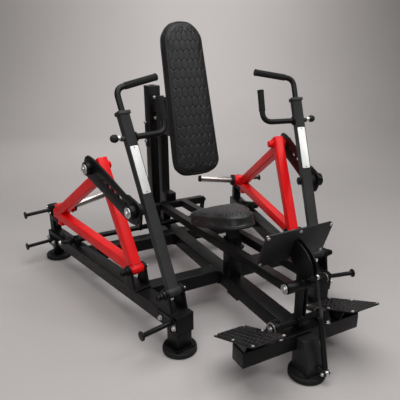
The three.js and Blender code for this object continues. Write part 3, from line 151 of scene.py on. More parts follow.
camera = in_scene("camera", bpy.data.cameras.new("camera"))
camera.data.lens = CAMERA_LENS
camera.data.clip_end = CAMERA_REACH
camera.matrix_world = Matrix.Translation(CAMERA_PLACE) @ Matrix(
    (CAMERA_RIGHT, CAMERA_UP, CAMERA_BACK)
).transposed().to_4x4()
scene.camera = camera
scene.view_settings.view_transform = "Standard"
scene.view_settings.look = "None"

sweep_paint = surface("sweep_paint", SWEEP_TONES, (0.35, 3), SWEEP_ROUGH, fixed={SHINE: 0.2})
view_way = Vector((-CAMERA_BACK.x, -CAMERA_BACK.y, 0)).normalized()
view_side = Vector((view_way.y, -view_way.x, 0))
profile = [(-SWEEP_NEAR, 0.0), (SWEEP_FLAT, 0.0)]
for step in range(1, SWEEP_STEPS + 1):
    turn = math.pi / 2 * step / SWEEP_STEPS
    height = SWEEP_RADIUS * (1 - math.cos(turn))
    profile.append((SWEEP_FLAT + SWEEP_RADIUS * math.sin(turn), height))
profile.append((SWEEP_FLAT + SWEEP_RADIUS, SWEEP_RADIUS + SWEEP_WALL))
form = bmesh.new()
rows = []
for away, height in profile:
    middle = view_way * away + Vector((0, 0, height))
    rows.append([form.verts.new(middle + view_side * SWEEP_HALF_WIDTH * sign) for sign in (-1, 1)])
for low, high in zip(rows, rows[1:]):
    form.faces.new((low[0], low[1], high[1], high[0])).smooth = True
mesh = bpy.data.meshes.new("sweep")
form.to_mesh(mesh)
form.free()
mesh.materials.append(sweep_paint)
sweep = in_scene("sweep", mesh)

# Each lamp: its place, what it points at, its two sizes and its power.
LIGHTS = {
    "overhead_softbox": ((-0.25, -0.35, 3.7), (-0.15, 0.05, 0.0), (3.4, 3.0), 136.0),
    "key": ((1.7, -2.7, 3.4), (0.0, 0.0, 0.6), (0.9, 0.9), 40.0),
    "front_fill": ((-2.9, -2.7, 2.9), (0.0, 0.0, 0.6), (2.4, 2.0), 62.0),
    "wall_wash": ((1.75, 3.9, 4.0), (2.1, 6.4, 0.3), (4.6, 1.5), 200.0),
}
for name, (place, target, size, power) in LIGHTS.items():
    lamp = bpy.data.lights.new(name, "AREA")
    lamp.shape = "RECTANGLE"
    lamp.size, lamp.size_y = size
    lamp.energy = power
    holder = in_scene(name, lamp)
    holder.location = place
    way = Vector(target) - Vector(place)
    holder.rotation_euler = way.to_track_quat("-Z", "Y").to_euler()

# The room: the camera sees the same grey as the wall, the machine gets a weak even light.
ROOM_SEEN = 0.36
ROOM_LIGHT = 0.10
ROOM_TINT = (1.0, 0.965, 0.955, 1)
world = bpy.data.worlds.new("room")
scene.world = world
world.use_nodes = True
room = world.node_tree
seen = add_node(room, "ShaderNodeLightPath")["Is Camera Ray"]
given = {"To Min": ROOM_LIGHT, "To Max": ROOM_SEEN, "Value": seen}
background = room.nodes["Background"].inputs
room.links.new(add_node(room, "ShaderNodeMapRange", given)["Result"], background["Strength"])
background["Color"].default_value = ROOM_TINT


# Floor discs
# Flat feet of moulded black rubber with a raised rim, screwed to the posts from below.
# Places along the machine are in millimetres from the seat post, as in the drawn solids.
beam_low, beam_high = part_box("foot_beam")
FOOT_BEAM_Y = -623
ALONG_SHIFT = (beam_low.y + beam_high.y) / 2 - FOOT_BEAM_Y / 1000
TOE_ANGLE = math.radians(12.5)
UNIT_X = 467
UNIT_Y = -198
SIDES = {"right": 1, "left": -1}
MERGE_REACH = 0.00001
CORNER_SHARE = 0.45
SHARP_ANGLE = 40


def at(x, y, z):
    """A place in the machine's frame, from millimetres."""
    return Vector((x / 1000, y / 1000 + ALONG_SHIFT, z / 1000))


UNIT_FRAMES = {
    side: Matrix.Scale(sign, 4, (1, 0, 0))
    @ Matrix.Translation(at(UNIT_X, UNIT_Y, 0))
    @ Matrix.Rotation(-TOE_ANGLE, 4, "Z")
    for side, sign in SIDES.items()
}
MACHINE_FRAME = Matrix.Translation(at(0, 0, 0))


def on_unit(side, x, y, z):
    """A place on a side unit: x outwards, y back along the rail, z up, in millimetres."""
    return UNIT_FRAMES[side] @ Vector((x / 1000, y / 1000, z / 1000))


def unit_way(side, x, y, z):
    """A direction on a side unit."""
    return (UNIT_FRAMES[side].to_3x3() @ Vector((x, y, z))).normalized()


def piece_of(name, mesh, finish, body, stands_for=(), sharp=SHARP_ANGLE):
    """A finished piece on its body, with smooth faces between its sharp edges."""
    mesh.materials.clear()
    mesh.materials.append(finish)
    for face in mesh.polygons:
        face.use_smooth = True
    mesh.set_sharp_from_angle(angle=math.radians(sharp))
    made = in_scene(name, mesh)
    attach(made, body)
    if stands_for:
        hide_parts(*stands_for)
    return made


def mesh_from(name, form):
    """A mesh from a form, after its faces' directions are worked out again."""
    bmesh.ops.recalc_face_normals(form, faces=form.faces)
    mesh = bpy.data.meshes.new(name)
    form.to_mesh(mesh)
    form.free()
    return mesh


def made_real(holder):
    """The mesh that a helper object gives after its modifiers; the helper goes."""
    bpy.context.view_layer.update()
    graph = bpy.context.evaluated_depsgraph_get()
    made = bpy.data.meshes.new_from_object(holder.evaluated_get(graph))
    bpy.data.objects.remove(holder)
    return made


def lofted(form, rings, around=False):
    """Adds rings of points with faces between them, closed at both ends or run all round."""
    rows = [[form.verts.new(spot) for spot in ring] for ring in rings]
    if around:
        rows.append(rows[0])
    for low, high in zip(rows, rows[1:]):
        for step in range(len(low)):
            ahead = (step + 1) % len(low)
            form.faces.new((low[step], low[ahead], high[ahead], high[step]))
    if not around:
        form.faces.new(rows[-1])
        form.faces.new(rows[0][::-1])


def turned_form(form, profile, foot, way, sides):
    """Adds a turned body: profile is (radius, height) in millimetres, from pole to pole."""
    turn = way.to_track_quat("Z", "Y").to_matrix()
    rings = []
    for radius, height in profile:
        ring = []
        for step in range(1 if radius == 0 else sides):
            angle = 2 * math.pi * step / sides
            spot = Vector((radius * math.cos(angle), radius * math.sin(angle), height)) / 1000
            ring.append(form.verts.new(foot + turn @ spot))
        rings.append(ring)
    for low, high in zip(rings, rings[1:]):
        for step in range(sides):
            ahead = (step + 1) % sides
            corners = [low[step % len(low)], low[ahead % len(low)]]
            corners += [high[ahead % len(high)], high[step % len(high)]]
            kept = list(dict.fromkeys(corners))
            if len(kept) > 2:
                form.faces.new(kept)


def turned_piece(name, profile, spots, sides, finish, body, stands_for=()):
    """A piece turned from a profile at one or more spots, each a foot and a way up."""
    form = bmesh.new()
    for foot, way in spots:
        turned_form(form, profile, foot, way, sides)
    if profile[0] == profile[-1]:
        bmesh.ops.remove_doubles(form, verts=form.verts, dist=MERGE_REACH)
    return piece_of(name, mesh_from(name, form), finish, body, stands_for)


def rounded_profile(points, radius, steps=3):
    """A turned profile with its inner corners rounded off."""
    made = [points[0]]
    for before, corner, after in zip(points, points[1:], points[2:]):
        here = Vector(corner)
        back = Vector(before) - here
        ahead = Vector(after) - here
        reach = min(radius, back.length * CORNER_SHARE, ahead.length * CORNER_SHARE)
        start = here + back.normalized() * reach
        end = here + ahead.normalized() * reach
        for step in range(steps + 1):
            share = step / steps
            made.append(tuple(start.lerp(here, share).lerp(here.lerp(end, share), share)))
    made.append(points[-1])
    return made


def rounded_box(half_x, half_y, radius, steps):
    """Outline of a rectangle about its own middle, with rounded corners."""
    points = []
    for quarter, (sign_x, sign_y) in enumerate(((1, 1), (-1, 1), (-1, -1), (1, -1))):
        for step in range(steps + 1):
            turn = math.pi / 2 * (quarter + step / steps)
            x = sign_x * (half_x - radius) + radius * math.cos(turn)
            points.append((x, sign_y * (half_y - radius) + radius * math.sin(turn)))
    return points


RUBBER = (0.0052, 0.0052, 0.0051)
RUBBER_LIT = (0.0078, 0.0078, 0.00765)
disc_rubber = surface(
    "moulded_rubber", (RUBBER, RUBBER_LIT), (60, 4), (0.62, 0.8),
    [((60, 4), 0.0003), ((900, 2), 0.0002)], fixed={SHINE: 0.3},
)
DISC_PROFILE = rounded_profile(
    [
        (0, 0), (84, 0), (90, 4), (90, 25), (87, 28.5), (80, 28.5), (77, 25),
        (60, 25), (56, 30), (22, 30), (0, 30),
    ],
    2,
)
DISC_SIDES = 72
LEG_Y = -700
COLUMN_Y = 1154.5
FRONT_POST_Y = -45
REAR_POST_Y = 1440
UPRIGHT = Vector((0, 0, 1))
disc_places = {"front_disc_middle": at(0, LEG_Y, 0), "rear_disc_middle": at(0, COLUMN_Y, 0)}
for side in SIDES:
    disc_places[f"front_disc_{side}"] = on_unit(side, 0, FRONT_POST_Y, 0)
    disc_places[f"rear_disc_{side}"] = on_unit(side, 0, REAR_POST_Y, 0)
for node, place in disc_places.items():
    spots = [(place, UPRIGHT)]
    turned_piece(
        f"{node}_rubber", DISC_PROFILE, spots, DISC_SIDES, disc_rubber, "base", [node]
    )


# Base tubes
# Spine, cross tubes and foot beam are rolled steel tube, welded and powder coated satin black.
# Each is a copy of the drawn piece with its edges broken as the coat leaves them.
BLACK_TONES = ((0.0022, 0.0022, 0.0023), (0.0042, 0.0042, 0.0043))
COAT_CLOUD = (9, 4)
COAT_SMEAR = (26, 3, 0.6)
COAT_PEEL = [((420, 2), 0.00012), ((1500, 1), 0.00004)]
COAT_SHINE = 0.2
EDGE_BREAK = 0.0014
BEVEL_ANGLE = math.radians(50)
FLAT_ANGLE = math.radians(0.5)
DRAWN_SHARP = 42


def powder_coat(name, tones, rough):
    """Powder coat: an even colour, a slightly uneven gloss and a fine orange peel."""
    return surface(name, tones, COAT_CLOUD, rough, COAT_PEEL, COAT_SMEAR, {SHINE: COAT_SHINE})


black_coat = powder_coat("satin_black_coat", BLACK_TONES, (0.36, 0.48))


def finished(node, coat=black_coat, edge=EDGE_BREAK):
    """A copy of a drawn piece with its edges broken and its coat on, on the same body."""
    source = frame["nodes"][node]
    form = bmesh.new()
    form.from_mesh(source.data)
    bmesh.ops.remove_doubles(form, verts=form.verts, dist=MERGE_REACH)
    bmesh.ops.dissolve_limit(form, angle_limit=FLAT_ANGLE, verts=form.verts, edges=form.edges)
    mesh = bpy.data.meshes.new(f"{node}_drawn")
    form.to_mesh(mesh)
    form.free()
    holder = in_scene(f"{node}_drawn", mesh)
    if edge:
        bevel = holder.modifiers.new("edge_break", "BEVEL")
        bevel.width = edge
        bevel.segments = 2
        bevel.limit_method = "ANGLE"
        bevel.angle_limit = BEVEL_ANGLE
    made = made_real(holder)
    return piece_of(f"{node}_finish", made, coat, source["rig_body"], [node], DRAWN_SHARP)


finished("spine")
finished("foot_beam")
for side in SIDES:
    finished(f"front_cross_{side}")
    finished(f"rear_cross_{side}")


# Side rails and pegs
# The toed-in rails carry both arms; their posts stand on the discs and hold the plate pegs.
# Welded tube with the same satin black coat; each peg is a turned bar on a bolted plate.
ZINC_TONES = ((0.58, 0.58, 0.58), (0.74, 0.735, 0.72))
SCREW_SIDES = 24
SCREW_SHARP = 30
WASHER_SHARE = 0.18
WASHER_LEAST = 0.6
SOCKET_SHARE = 0.55
SOCKET_DEPTH_SHARE = 0.5
CHAMFER_SHARE = 0.13
HEAD_TOP_SHARE = 0.86
for side in SIDES:
    for node in ("side_rail", "rocker_bearing", "front_peg", "rear_peg_upper", "rear_peg_lower"):
        finished(f"{node}_{side}")
for side in SIDES:
    finished(f"lever_bearing_{side}")
zinc_steel = surface(
    "zinc_steel", ZINC_TONES, (160, 4), (0.34, 0.5), [((700, 2), 0.00008)], fixed={"Metallic": 1.0}
)


def screw_sizes(radius, washer=1.5, height=0.7):
    """Sizes of one kind of screw: its head's radius in millimetres, the rest as shares of it."""
    return {
        "Head radius": radius / 1000,
        "Head height": radius * height / 1000,
        "Washer radius": radius * washer / 1000,
        "Washer height": max(radius * WASHER_SHARE, WASHER_LEAST) / 1000,
        "Socket radius": radius * SOCKET_SHARE / 1000,
        "Socket depth": radius * SOCKET_DEPTH_SHARE / 1000,
    }


def tree_of(name, labels):
    """A new Geometry Nodes tree whose inputs are points, numbers and a finish."""
    tree = bpy.data.node_groups.new(name, "GeometryNodeTree")
    kinds = {"Points": "Geometry", **dict.fromkeys(labels, "Float"), "Finish": "Material"}
    for label, kind in kinds.items():
        tree.interface.new_socket(label, in_out="INPUT", socket_type=f"NodeSocket{kind}")
    tree.interface.new_socket("Grown", in_out="OUTPUT", socket_type="NodeSocketGeometry")
    return tree, tree.nodes.new("NodeGroupInput").outputs


def set_on_points(tree, given, form):
    """Ends a tree: its form stands on every point, turned to the point's aim."""
    aim = add_node(
        tree, "GeometryNodeInputNamedAttribute", {"Name": "aim"}, data_type="FLOAT_VECTOR"
    )["Attribute"]
    turn = add_node(tree, "FunctionNodeAlignRotationToVector", {"Vector": aim}, axis="Z")["Rotation"]
    wanted = {"Points": given["Points"], "Instance": form, "Rotation": turn}
    spread = add_node(tree, "GeometryNodeInstanceOnPoints", wanted)["Instances"]
    real = add_node(tree, "GeometryNodeRealizeInstances", {"Geometry": spread})["Geometry"]
    wanted = {"Geometry": real, "Material": given["Finish"]}
    painted = add_node(tree, "GeometryNodeSetMaterial", wanted)["Geometry"]
    add_node(tree, "NodeGroupOutput", {"Grown": painted})


def screw_tree():
    """Geometry Nodes: a washer and a turned head with a hexagon socket at every point."""
    tree, given = tree_of("socket_screws", screw_sizes(1))

    def maths(operation, *values):
        return add_node(tree, "ShaderNodeMath", dict(enumerate(values)), operation=operation)[0]

    def cylinder(label):
        sizes = {"Radius": given[f"{label} radius"], "Depth": given[f"{label} height"]}
        return add_node(tree, "GeometryNodeMeshCylinder", {"Vertices": SCREW_SIDES, **sizes})

    def lifted(geometry, height):
        offset = add_node(tree, "ShaderNodeCombineXYZ", {"Z": height})["Vector"]
        wanted = {"Geometry": geometry, "Translation": offset}
        return add_node(tree, "GeometryNodeTransform", wanted)["Geometry"]

    def drawn(geometry, top, amount):
        wanted = {"Mesh": geometry, "Selection": top, "Offset Scale": amount, "Individual": False}
        made = add_node(tree, "GeometryNodeExtrudeMesh", wanted)
        return made["Mesh"], made["Top"]

    washer = lifted(cylinder("Washer")["Mesh"], maths("MULTIPLY", given["Washer height"], 0.5))
    head = cylinder("Head")
    chamfer = maths("MULTIPLY", given["Head radius"], CHAMFER_SHARE)
    geometry, top = drawn(head["Mesh"], head["Top"], chamfer)
    wanted = {"Geometry": geometry, "Selection": top, "Scale": HEAD_TOP_SHARE}
    geometry = add_node(tree, "GeometryNodeScaleElements", wanted)["Geometry"]
    geometry, top = drawn(geometry, top, 0.0)

    # The inner ring moves onto a hexagon: radius = flat / cos(angle to the flat's middle).
    place = add_node(tree, "GeometryNodeInputPosition")["Position"]
    spot = add_node(tree, "ShaderNodeSeparateXYZ", {"Vector": place})
    angle = maths("ARCTAN2", spot["Y"], spot["X"])
    part = maths("MODULO", maths("ADD", angle, math.pi * 2), math.pi / 3)
    flat = maths("MULTIPLY", given["Socket radius"], math.cos(math.pi / 6))
    reach = maths("DIVIDE", flat, maths("COSINE", maths("SUBTRACT", part, math.pi / 6)))
    across = maths("MULTIPLY", reach, maths("COSINE", angle))
    along = maths("MULTIPLY", reach, maths("SINE", angle))
    wanted = {"X": across, "Y": along, "Z": spot["Z"]}
    hexagon = add_node(tree, "ShaderNodeCombineXYZ", wanted)["Vector"]
    wanted = {"Geometry": geometry, "Selection": top, "Position": hexagon}
    shaped = add_node(tree, "GeometryNodeSetPosition", wanted)["Geometry"]
    sunk = maths("MULTIPLY", given["Socket depth"], -1.0)
    half_head = maths("MULTIPLY", given["Head height"], 0.5)
    rise = maths("ADD", given["Washer height"], half_head)
    head_form = lifted(drawn(shaped, top, sunk)[0], rise)
    both = add_node(tree, "GeometryNodeJoinGeometry", {"Geometry": [head_form, washer]})["Geometry"]
    set_on_points(tree, given, both)
    return tree


def grown(name, tree, spots, sizes, finish, body):
    """Runs a tree on points that have an aim, and keeps the result as a plain piece."""
    mesh = bpy.data.meshes.new(f"{name}_points")
    mesh.from_pydata([tuple(place) for place, _ in spots], [], [])
    aims = mesh.attributes.new("aim", "FLOAT_VECTOR", "POINT")
    aims.data.foreach_set("vector", [part for _, way in spots for part in way.normalized()])
    holder = in_scene(f"{name}_points", mesh)
    grower = holder.modifiers.new("grower", "NODES")
    grower.node_group = tree
    sockets = {item.name: item.identifier for item in tree.interface.items_tree}
    for label, value in {**sizes, "Finish": finish}.items():
        grower[sockets[label]] = value
    return piece_of(name, made_real(holder), finish, body, (), SCREW_SHARP)


socket_screws = screw_tree()


def screws(name, kind, spots, body, finish=zinc_steel):
    """Screws of one kind at spots, each a place and the way its head looks."""
    return grown(name, socket_screws, spots, screw_sizes(*kind), finish, body)


def flat_plate(outlines, thick, edge, place):
    """A flat plate from an outline and the outlines of its holes, with broken edges."""
    curve = bpy.data.curves.new("plate", "CURVE")
    curve.dimensions = "2D"
    curve.fill_mode = "BOTH"
    curve.extrude = (thick / 2 - edge) / 1000
    curve.bevel_depth = edge / 1000
    curve.bevel_resolution = 2
    curve.offset = -edge / 1000
    for outline in outlines:
        spline = curve.splines.new("POLY")
        spline.points.add(len(outline) - 1)
        for point, (x, y) in zip(spline.points, outline):
            point.co = (x / 1000, y / 1000, 0, 1)
        spline.use_cyclic_u = True
    form = bmesh.new()
    form.from_mesh(made_real(in_scene("plate", curve)))
    form.transform(place)
    bmesh.ops.remove_doubles(form, verts=form.verts, dist=MERGE_REACH)
    return mesh_from("plate", form)


def black_box(name, place, low, high, edge=1.2):
    """A black block of the base with broken edges, between two corners in a frame.

    The left unit's frame mirrors the block first, which leaves a lip along its edges.
    """
    form = bmesh.new()
    bmesh.ops.create_cube(form, size=1.0)
    for vert in form.verts:
        spot = [a + (b - a) * (part + 0.5) for a, b, part in zip(low, high, vert.co)]
        vert.co = place @ (Vector(spot) / 1000)
    bmesh.ops.bevel(
        form, geom=form.edges[:], offset=edge / 1000, segments=2, profile=0.5, affect="EDGES"
    )
    return piece_of(name, mesh_from(name, form), black_coat, "base")


# Long bolted plates carry the low pegs, and each post ends in a square plate on its disc.
PEG_PLATES = {
    "front_peg_plate": (-93, 62, 148, 214, ((-77, 166), (40, 172))),
    "rear_peg_plate": (1350, 1471, 110, 174, ((1378, 148), (1459, 164))),
}
RAIL_SIDE = 46
PEG_PLATE_FACE = 54.8
PEG_BOLT = (11, 1.3, 0.8)
PEG_SCREW = (7, 1.3, 0.8)
UPPER_PEG_BOLTS = ((1419, 358), (1461, 394))
UPPER_PEG_FACE = 38.3
POST_FEET = {"front_post_foot": (FRONT_POST_Y, 57), "rear_post_foot": (REAR_POST_Y, 44)}
FOOT_LOW = 30.1
FOOT_HIGH = 35
COLUMN_FOOT = 58
# The box on a rail's front end: its low and high corner and the break of its edges.
RAIL_END = ((-51.5, -96.5, 126), (51.5, -38, 229.2), 2)


def foot_corners(y, half):
    """Low and high corner of a square foot plate about a post."""
    return (-half, y - half, FOOT_LOW), (half, y + half, FOOT_HIGH)


big_bolts = []
small_bolts = []
for side in SIDES:
    unit = UNIT_FRAMES[side]
    out = unit_way(side, 1, 0, 0)
    for name, (near, far, low, high, bolts) in PEG_PLATES.items():
        corners = (RAIL_SIDE, near, low), (PEG_PLATE_FACE, far, high)
        black_box(f"{name}_{side}", unit, *corners)
        big_bolts += [(on_unit(side, PEG_PLATE_FACE, y, z), out) for y, z in bolts]
    small_bolts += [(on_unit(side, UPPER_PEG_FACE, y, z), out) for y, z in UPPER_PEG_BOLTS]
    for name, (y, half) in POST_FEET.items():
        black_box(f"{name}_{side}", unit, *foot_corners(y, half))
    black_box(f"rail_end_{side}", unit, *RAIL_END)
black_box("column_foot", MACHINE_FRAME, *foot_corners(COLUMN_Y, COLUMN_FOOT))
screws("peg_bolts", PEG_BOLT, big_bolts, "base")
screws("peg_screws", PEG_SCREW, small_bolts, "base")


# Column and pad post
# A heavy square column stands behind the pad post; a brace with a bolted flange ties them.
# Welded tube, satin black; a plastic cap with a low dome closes the column.
CAP_TONES = ((0.017, 0.017, 0.017), (0.026, 0.026, 0.026))
CAP_HALF = (47.5, 49)
CAP_ROUND = 5
CAP_CORNER_STEPS = 5
CAP_LOW = 1214
CAP_STEPS = ((0, 0), (0, 2.5), (1.5, 4), (14, 4.6))
FRONT_FLANGE = ((-36, 1098.5, 958), (36, 1107.2, 1168))
FLANGE_ROWS = (988, 1137)
COLUMN_SCREW = (9, 1.4, 1.1)
# Where screws show: behind the brace's flange, before the front flange, on the side plate.
COLUMN_SCREWS = (
    ((0, 1015), (996, 1143), (0, 1, 0)),
    ((-3, FRONT_FLANGE[0][1]), FLANGE_ROWS, (0, -1, 0)),
    ((-53, 1175), (808, 948), (-1, 0, 0)),
)
GUSSET = ((592, 905), (948, 905), (948, 1147), (654, 1147))
GUSSET_X = 28
GUSSET_THICK = 5
GUSSET_BREAK = 1
finished("column")
finished("pad_post")
column_cap = surface(
    "moulded_cap", CAP_TONES, (300, 3), (0.42, 0.55), [((300, 3), 0.0001)]
)
form = bmesh.new()
cap_rings = []
for inset, height in CAP_STEPS:
    outline = rounded_box(CAP_HALF[0] - inset, CAP_HALF[1] - inset, CAP_ROUND, CAP_CORNER_STEPS)
    cap_rings.append([at(x, COLUMN_Y + y, CAP_LOW + height) for x, y in outline])
lofted(form, cap_rings)
piece_of("column_cap", mesh_from("column_cap", form), column_cap, "base")
black_box("column_flange", MACHINE_FRAME, *FRONT_FLANGE)
column_spots = []
for (x, y), rows, way in COLUMN_SCREWS:
    column_spots += [(at(x, y, z), Vector(way)) for z in rows]
screws("column_screws", COLUMN_SCREW, column_spots, "base")

# Two flat gussets close the pad's carrier between the pad post and the carrier plate.
for side, sign in SIDES.items():
    place = Matrix(((0, 0, 1), (1, 0, 0), (0, 1, 0))).to_4x4()
    place.translation = at(sign * GUSSET_X, 0, 0)
    plate = flat_plate([GUSSET], GUSSET_THICK, GUSSET_BREAK, place)
    piece_of(f"carrier_gusset_{side}", plate, black_coat, "base")


# Back pad
# A moulded foam pad on a board, covered in black leatherette quilted in long hexagons.
# The cover has a plain border, a piped edge all round and is stapled to the board behind.
PAD_LENGTH = 896
PAD_THICK = 71
PAD_FOOT_WIDTH = 312
PAD_HEAD_WIDTH = 264
PAD_CORNERS = (76, 92)
PAD_ACROSS = (1.0, 1.17)
PAD_BULGES = (18, 36)
PAD_CROWN = 6
PAD_ROLL = 27
PINCH = 2.5
PAD_STEP = 7.6
PAD_LEAN = math.radians(90 - 14.5)
PAD_FOOT = (0, 444, 692)
PAD_START = Vector((0, 0.038, 0.0015))
PAD_BORDER = 20
PAD_BANDS = (PAD_THICK - 24, 12)
PAD_PIPING_INSET = 5
PAD_PIPING = ((0.5, PAD_THICK - 3.2), (2.5, 6))
PAD_SEAM = (0.5, 3.2, 2.5)
PAD_TONES = ((0.0095, 0.0095, 0.0095), (0.0135, 0.0135, 0.0134))
PAD_PEBBLE = (520, 4, 0.6)
BULGE_REACH = 150
CORNER_STEPS_LEAST = 6
CORNER_STEPS_SHARE = 1.4
ROLL_STEPS = 4
SIDE_STEPS = 5
CROWN_STEEPNESS = 3
BAND_FOOT = 7
HEM = ((1.2, 3.5), (4, 1), (8, 0))
HEX_COLUMNS = 7.16
HEX_ROWS = 15
HEX_START = 50
HEX_PITCH = 60
HEX_TIGHTER = 0.046
HEX_SPAN = 803
HEX_SLANT = 0.36
SWELL_CAP = 6
SWELL_PRESSURE = 4.0
SWELL_FRAMES = 20
SWELL_HELD = 4
FACE_UP = 0.35
FACE_FROM = 0.7
BORDER_FADE = 4
CELL_FADE = 7
BAND_DEPTH = 0.8
WAVE_LENGTH = 38
WAVE_HEIGHT = 0.35
OUTLINE_STEP = 3.0
PIPING_RADIUS = 2.2
PIPING_PROUD = 0.35
PIPING_SIDES = 8
COVER_SHARP = 80

leatherette = surface(
    "black_leatherette", PAD_TONES, (7, 4), (0.46, 0.6),
    [((60, 3, 0.55), 0.0006), (PAD_PEBBLE, 0.00035)], PAD_PEBBLE, {SHINE: 0.26},
)


def rounded_width(along, length, foot, head, corners, across=(1.0, 1.0)):
    """Width of an outline at a place along it, with the corners of its two ends rounded."""
    share = min(1.0, max(0.0, along / length))
    straight = foot + (head - foot) * share
    for corner, reach, away in zip(corners, across, (share * length, (1 - share) * length)):
        into = max(0.0, corner - away)
        straight -= (corner - math.sqrt(max(corner**2 - into**2, 0.0))) * 2 * reach
    return straight


def pad_width(along, inset=0.0):
    """Width of the pad's outline, or of the outline inset by a border."""
    return rounded_width(
        along - inset, PAD_LENGTH - inset * 2, PAD_FOOT_WIDTH - inset * 2,
        PAD_HEAD_WIDTH - inset * 2, [corner - inset for corner in PAD_CORNERS], PAD_ACROSS,
    )


def places_along(length, inset, corners, step):
    """Stations along a cushion: close together in its rounded ends, even between."""
    ends = []
    for corner in corners:
        radius = corner - inset
        turns = max(CORNER_STEPS_LEAST, int(radius * CORNER_STEPS_SHARE / step))
        ends.append([radius * (1 - math.cos(math.pi / 2 * i / turns)) for i in range(turns)])
    inner = length - sum(corners)
    count = max(2, int(inner / step))
    middle = [corners[0] - inset + inner * i / count for i in range(count + 1)]
    far = [length - 2 * inset - place for place in reversed(ends[1])]
    return [inset + place for place in ends[0] + middle + far]


def bulged(x, along, outline):
    """Where a point goes when a cushion's straight ends are bowed outward."""
    length, _, width_at, bulges = outline
    share = max(0.0, 1 - (2 * x / width_at(length / 2)) ** 2)
    foot = bulges[0] * share * max(0.0, 1 - along / BULGE_REACH) ** 2
    head = bulges[1] * share * max(0.0, 1 - (length - along) / BULGE_REACH) ** 2
    return along - foot + head


def ways_out(points, reach):
    """The way out of a closed flat outline at each of its points."""
    count = len(points)
    runs = [points[(index + reach) % count] - points[index - reach] for index in range(count)]
    return [Vector((run.y, -run.x)).normalized() for run in runs]


def cushion_mesh(outline, thick, crown, roll, step):
    """A closed cushion in its own frame: y along, z up through its face.

    An outline is a length, corner radii, a width at each place along and two end bulges.
    """
    length, corners, width_at, _ = outline
    columns = int(width_at(length / 2, roll) / step)
    form = bmesh.new()
    grid = []
    for along in places_along(length, roll, corners, step):
        share = (along - roll) / (length - 2 * roll)
        end_rise = min(1.0, CROWN_STEEPNESS * math.sin(math.pi * share))
        row = []
        for column in range(columns + 1):
            side = 2 * column / columns - 1
            height = thick + crown * (1 - side * side) * max(0.0, end_rise)
            row.append(form.verts.new((side * width_at(along, roll) / 2, along, height)))
        grid.append(row)
    for low, high in zip(grid, grid[1:]):
        for column in range(columns):
            form.faces.new((low[column], low[column + 1], high[column + 1], high[column]))
    rim = grid[0][:-1] + [row[-1] for row in grid[:-1]]
    rim += grid[-1][:0:-1] + [row[0] for row in reversed(grid[1:])]
    flat = [Vector((vert.co.x, vert.co.y)) for vert in rim]
    outward = ways_out(flat, 2)
    levels = []
    for number in range(1, ROLL_STEPS + 1):
        turn = math.pi / 2 * number / ROLL_STEPS
        levels.append((roll * math.sin(turn), thick - roll * (1 - math.cos(turn))))
    drop = thick - roll
    for number in range(1, SIDE_STEPS + 1):
        share = number / SIDE_STEPS
        pinched = roll - PINCH * math.sin(math.pi * share)
        levels.append((pinched, drop - (drop - BAND_FOOT) * share))
    levels += [(roll - inset, height) for inset, height in HEM]
    previous = rim
    for grow, height in levels:
        ring = [
            form.verts.new((*(spot + way * grow), height)) for spot, way in zip(flat, outward)
        ]
        for index in range(len(rim)):
            ahead = (index + 1) % len(rim)
            form.faces.new((previous[index], ring[index], ring[ahead], previous[ahead]))
        previous = ring
    rows = len(grid)
    left = [previous[-number] for number in range(rows)]
    right = [previous[columns + number] for number in range(rows)]
    for number in range(1, rows - 2):
        ahead = number + 1
        form.faces.new((left[number], left[ahead], right[ahead], right[number]))
    form.faces.new(previous[:columns + 1] + [right[1], left[1]])
    far = columns + rows - 1
    form.faces.new(previous[far:far + columns + 1] + [left[-2], right[-2]])
    for vert in form.verts:
        vert.co.y = bulged(vert.co.x, vert.co.y, outline)
        vert.co /= 1000
    return mesh_from("cushion", form)


def swollen(mesh):
    """Foam under its cover: a short cloth run under pressure, held at the board, then capped."""
    holder = in_scene("swelling", mesh)
    rest = [vert.co.copy() for vert in mesh.vertices]
    group = holder.vertex_groups.new(name="board")
    held = [index for index, spot in enumerate(rest) if spot.z < SWELL_HELD / 1000]
    group.add(held, 1.0, "REPLACE")
    cloth = holder.modifiers.new("cover", "CLOTH")
    cloth.settings.use_pressure = True
    cloth.settings.uniform_pressure_force = SWELL_PRESSURE
    cloth.settings.vertex_group_mass = "board"
    cloth.settings.effector_weights.gravity = 0
    cloth.settings.quality = 5
    scene.frame_start = 1
    scene.frame_end = SWELL_FRAMES
    cloth.point_cache.frame_end = SWELL_FRAMES
    for number in range(1, SWELL_FRAMES + 1):
        scene.frame_set(number)
    graph = bpy.context.evaluated_depsgraph_get()
    moved = bpy.data.meshes.new_from_object(holder.evaluated_get(graph))
    for vert, after, before in zip(mesh.vertices, moved.vertices, rest):
        shift = after.co - before
        vert.co = before + shift.normalized() * min(shift.length, SWELL_CAP / 1000)
    holder.modifiers.remove(cloth)
    scene.frame_set(1)
    smoother = holder.modifiers.new("finer", "SUBSURF")
    smoother.levels = 2
    smoother.render_levels = 2
    return made_real(holder)


def loop_of(outline, inset):
    """Points all round a cushion's outline, inset by a border, and the way out at each."""
    length, corners, width_at, _ = outline
    stations = places_along(length, inset, corners, OUTLINE_STEP)
    right = [Vector((width_at(along, inset) / 2, along)) for along in stations]
    left = [Vector((-spot.x, spot.y)) for spot in reversed(right)]
    ends = []
    for low, high in ((right[-1], left[0]), (left[-1], right[0])):
        count = max(2, int((high - low).length / OUTLINE_STEP))
        ends.append([low.lerp(high, number / count) for number in range(1, count)])
    points = [
        Vector((x, bulged(x, along, outline))) for x, along in right + ends[0] + left + ends[1]
    ]
    return points, ways_out(points, 1)


